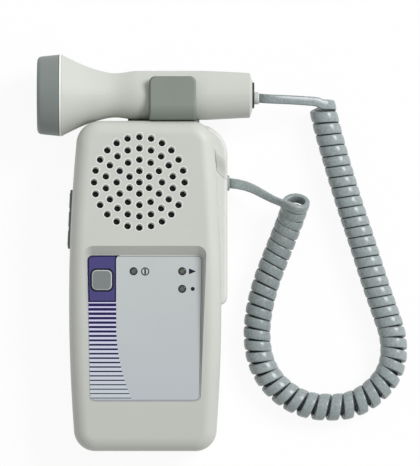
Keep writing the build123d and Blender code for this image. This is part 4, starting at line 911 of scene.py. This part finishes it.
def buildRamp():
    # the pod's roof runs up to its shoulder in one soft slope
    across, along, edgeSteps = ramp["across"], ramp["along"], ramp["edgeSteps"]
    upper, lower = [], []
    for i in range(along + 1):
        t = i / along
        inner = Vector(ramp["inner"][0]).lerp(Vector(ramp["inner"][1]), t)
        outer = Vector(ramp["outer"][0]).lerp(Vector(ramp["outer"][1]), t)
        climb = ramp["rise"] * (1 - t * t * (3 - 2 * t))
        for j in range(across + 1):
            flat = min(j / (across - edgeSteps), 1.0)
            turn = math.pi / 2 * max(j - (across - edgeSteps), 0) / edgeSteps
            x = inner.x + (outer.x - ramp["edge"] - inner.x) * flat + ramp["edge"] * math.sin(turn)
            y = inner.y + (outer.y - inner.y) * (x - inner.x) / (outer.x - inner.x)
            z = ramp["roof"] - ramp["edge"] * (1 - math.cos(turn))
            upper.append(place(x, y, z + climb))
            lower.append(place(min(x, outer.x - ramp["sink"]), y, z - ramp["sink"]))
    wide = across + 1
    count = len(upper)
    faces = []
    for i in range(along):
        for j in range(across):
            a, b = i * wide + j, (i + 1) * wide + j
            faces += [(a, a + 1, b + 1, b), (count + a, count + b, count + b + 1, count + a + 1)]
    border = list(range(across)) + [i * wide + across for i in range(along)]
    border += [along * wide + j for j in range(across, 0, -1)] + [i * wide for i in range(along, 0, -1)]
    for a, b in zip(border, border[1:] + border[:1]):
        faces.append((a, b, count + b, count + a))
    piece = meshPiece("podRamp", upper + lower, faces)
    faceOut(piece.data)
    # the ramp is part of the pod and takes its painted light too
    piece.data.materials.append(finishes["pod_painted_light"])
    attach(piece, "unit")
    print("pod ramp laid")


buildRamp()


grille = {
    "centre": (-2.45, 43.95), "face": 34.0, "pitch": 4.78, "rings": 4, "sides": 6,
    "rim": 1.74, "bead": 0.27, "beadAngles": (-30, 5, 40, 75, 110, 145, 180), "proud": 0.08, "round": 24,
    "draft": 1.3, "wall": 1.6, "deep": 0.7, "lean": (-0.12, -0.45),  # how far the drafted walls lean
    # paler than the shell's plastic: a painted highlight on the beads and painted light on the walls
    "dark": (226, 227, 223), "light": (231, 232, 228),
}


def holeEdge():
    # one hole's bead with the drafted wall that leads down from it, in a paler plastic that paints the bead's
    # highlight
    low = -grille["deep"]
    section = [(grille["draft"], low), (grille["wall"], low)]
    for degrees in grille["beadAngles"]:
        a = math.radians(degrees)
        section.append((grille["rim"] + grille["bead"] * math.cos(a),
                        grille["proud"] + grille["bead"] * (math.sin(a) - 1)))
    points, faces = [], []
    count, turn = len(section), grille["round"]
    for i in range(turn):
        a = 2 * math.pi * i / turn
        for reach, z in section:
            leanX, leanY = grille["lean"] if z == low else (0.0, 0.0)
            points.append(place(reach * math.cos(a) + leanX, reach * math.sin(a) + leanY, z))
        for j in range(count):
            k, after = (j + 1) % count, (i + 1) % turn
            faces.append((i * count + j, i * count + k, after * count + k, after * count + j))
    edge = meshPiece("holeEdge", points, faces)
    faceOut(edge.data)
    return edge


def rimTree(look):
    # puts one hole's edge on every spot
    tree, given = newTree("holeRims", [("Geometry", "Geometry"), ("Edge", "Object")])
    one = tree.nodes.new("GeometryNodeObjectInfo")
    tree.links.new(given["Edge"], one.inputs["Object"])
    put = tree.nodes.new("GeometryNodeInstanceOnPoints")
    tree.links.new(given["Geometry"], put.inputs["Points"])
    tree.links.new(one.outputs["Geometry"], put.inputs["Instance"])
    endTree(tree, put.outputs["Instances"], look)
    return tree


def buildGrille():
    gx, gy = grille["centre"]
    spots = [place(gx, gy, grille["face"])]
    for ring in range(1, grille["rings"] + 1):
        count = grille["sides"] * ring
        for i in range(count):
            a = math.pi / 2 + 2 * math.pi * i / count
            reach = ring * grille["pitch"]
            spots.append(place(gx + reach * math.cos(a), gy + reach * math.sin(a), grille["face"]))
    base = bpy.data.meshes.new("holeSpots")
    base.from_pydata([tuple(p) for p in spots], [], [])
    look = finish("holeHighlightPlastic", {"dark": grille["dark"], "light": grille["light"]})
    edge = holeEdge()
    rims = fromTree("holeRims", rimTree(look), {"Edge": edge}, look, base)
    bpy.data.objects.remove(edge)
    rims.data.polygons.foreach_set("use_smooth", [True] * len(rims.data.polygons))
    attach(rims, "unit")
    print("sound holes edged:", len(spots))


buildGrille()
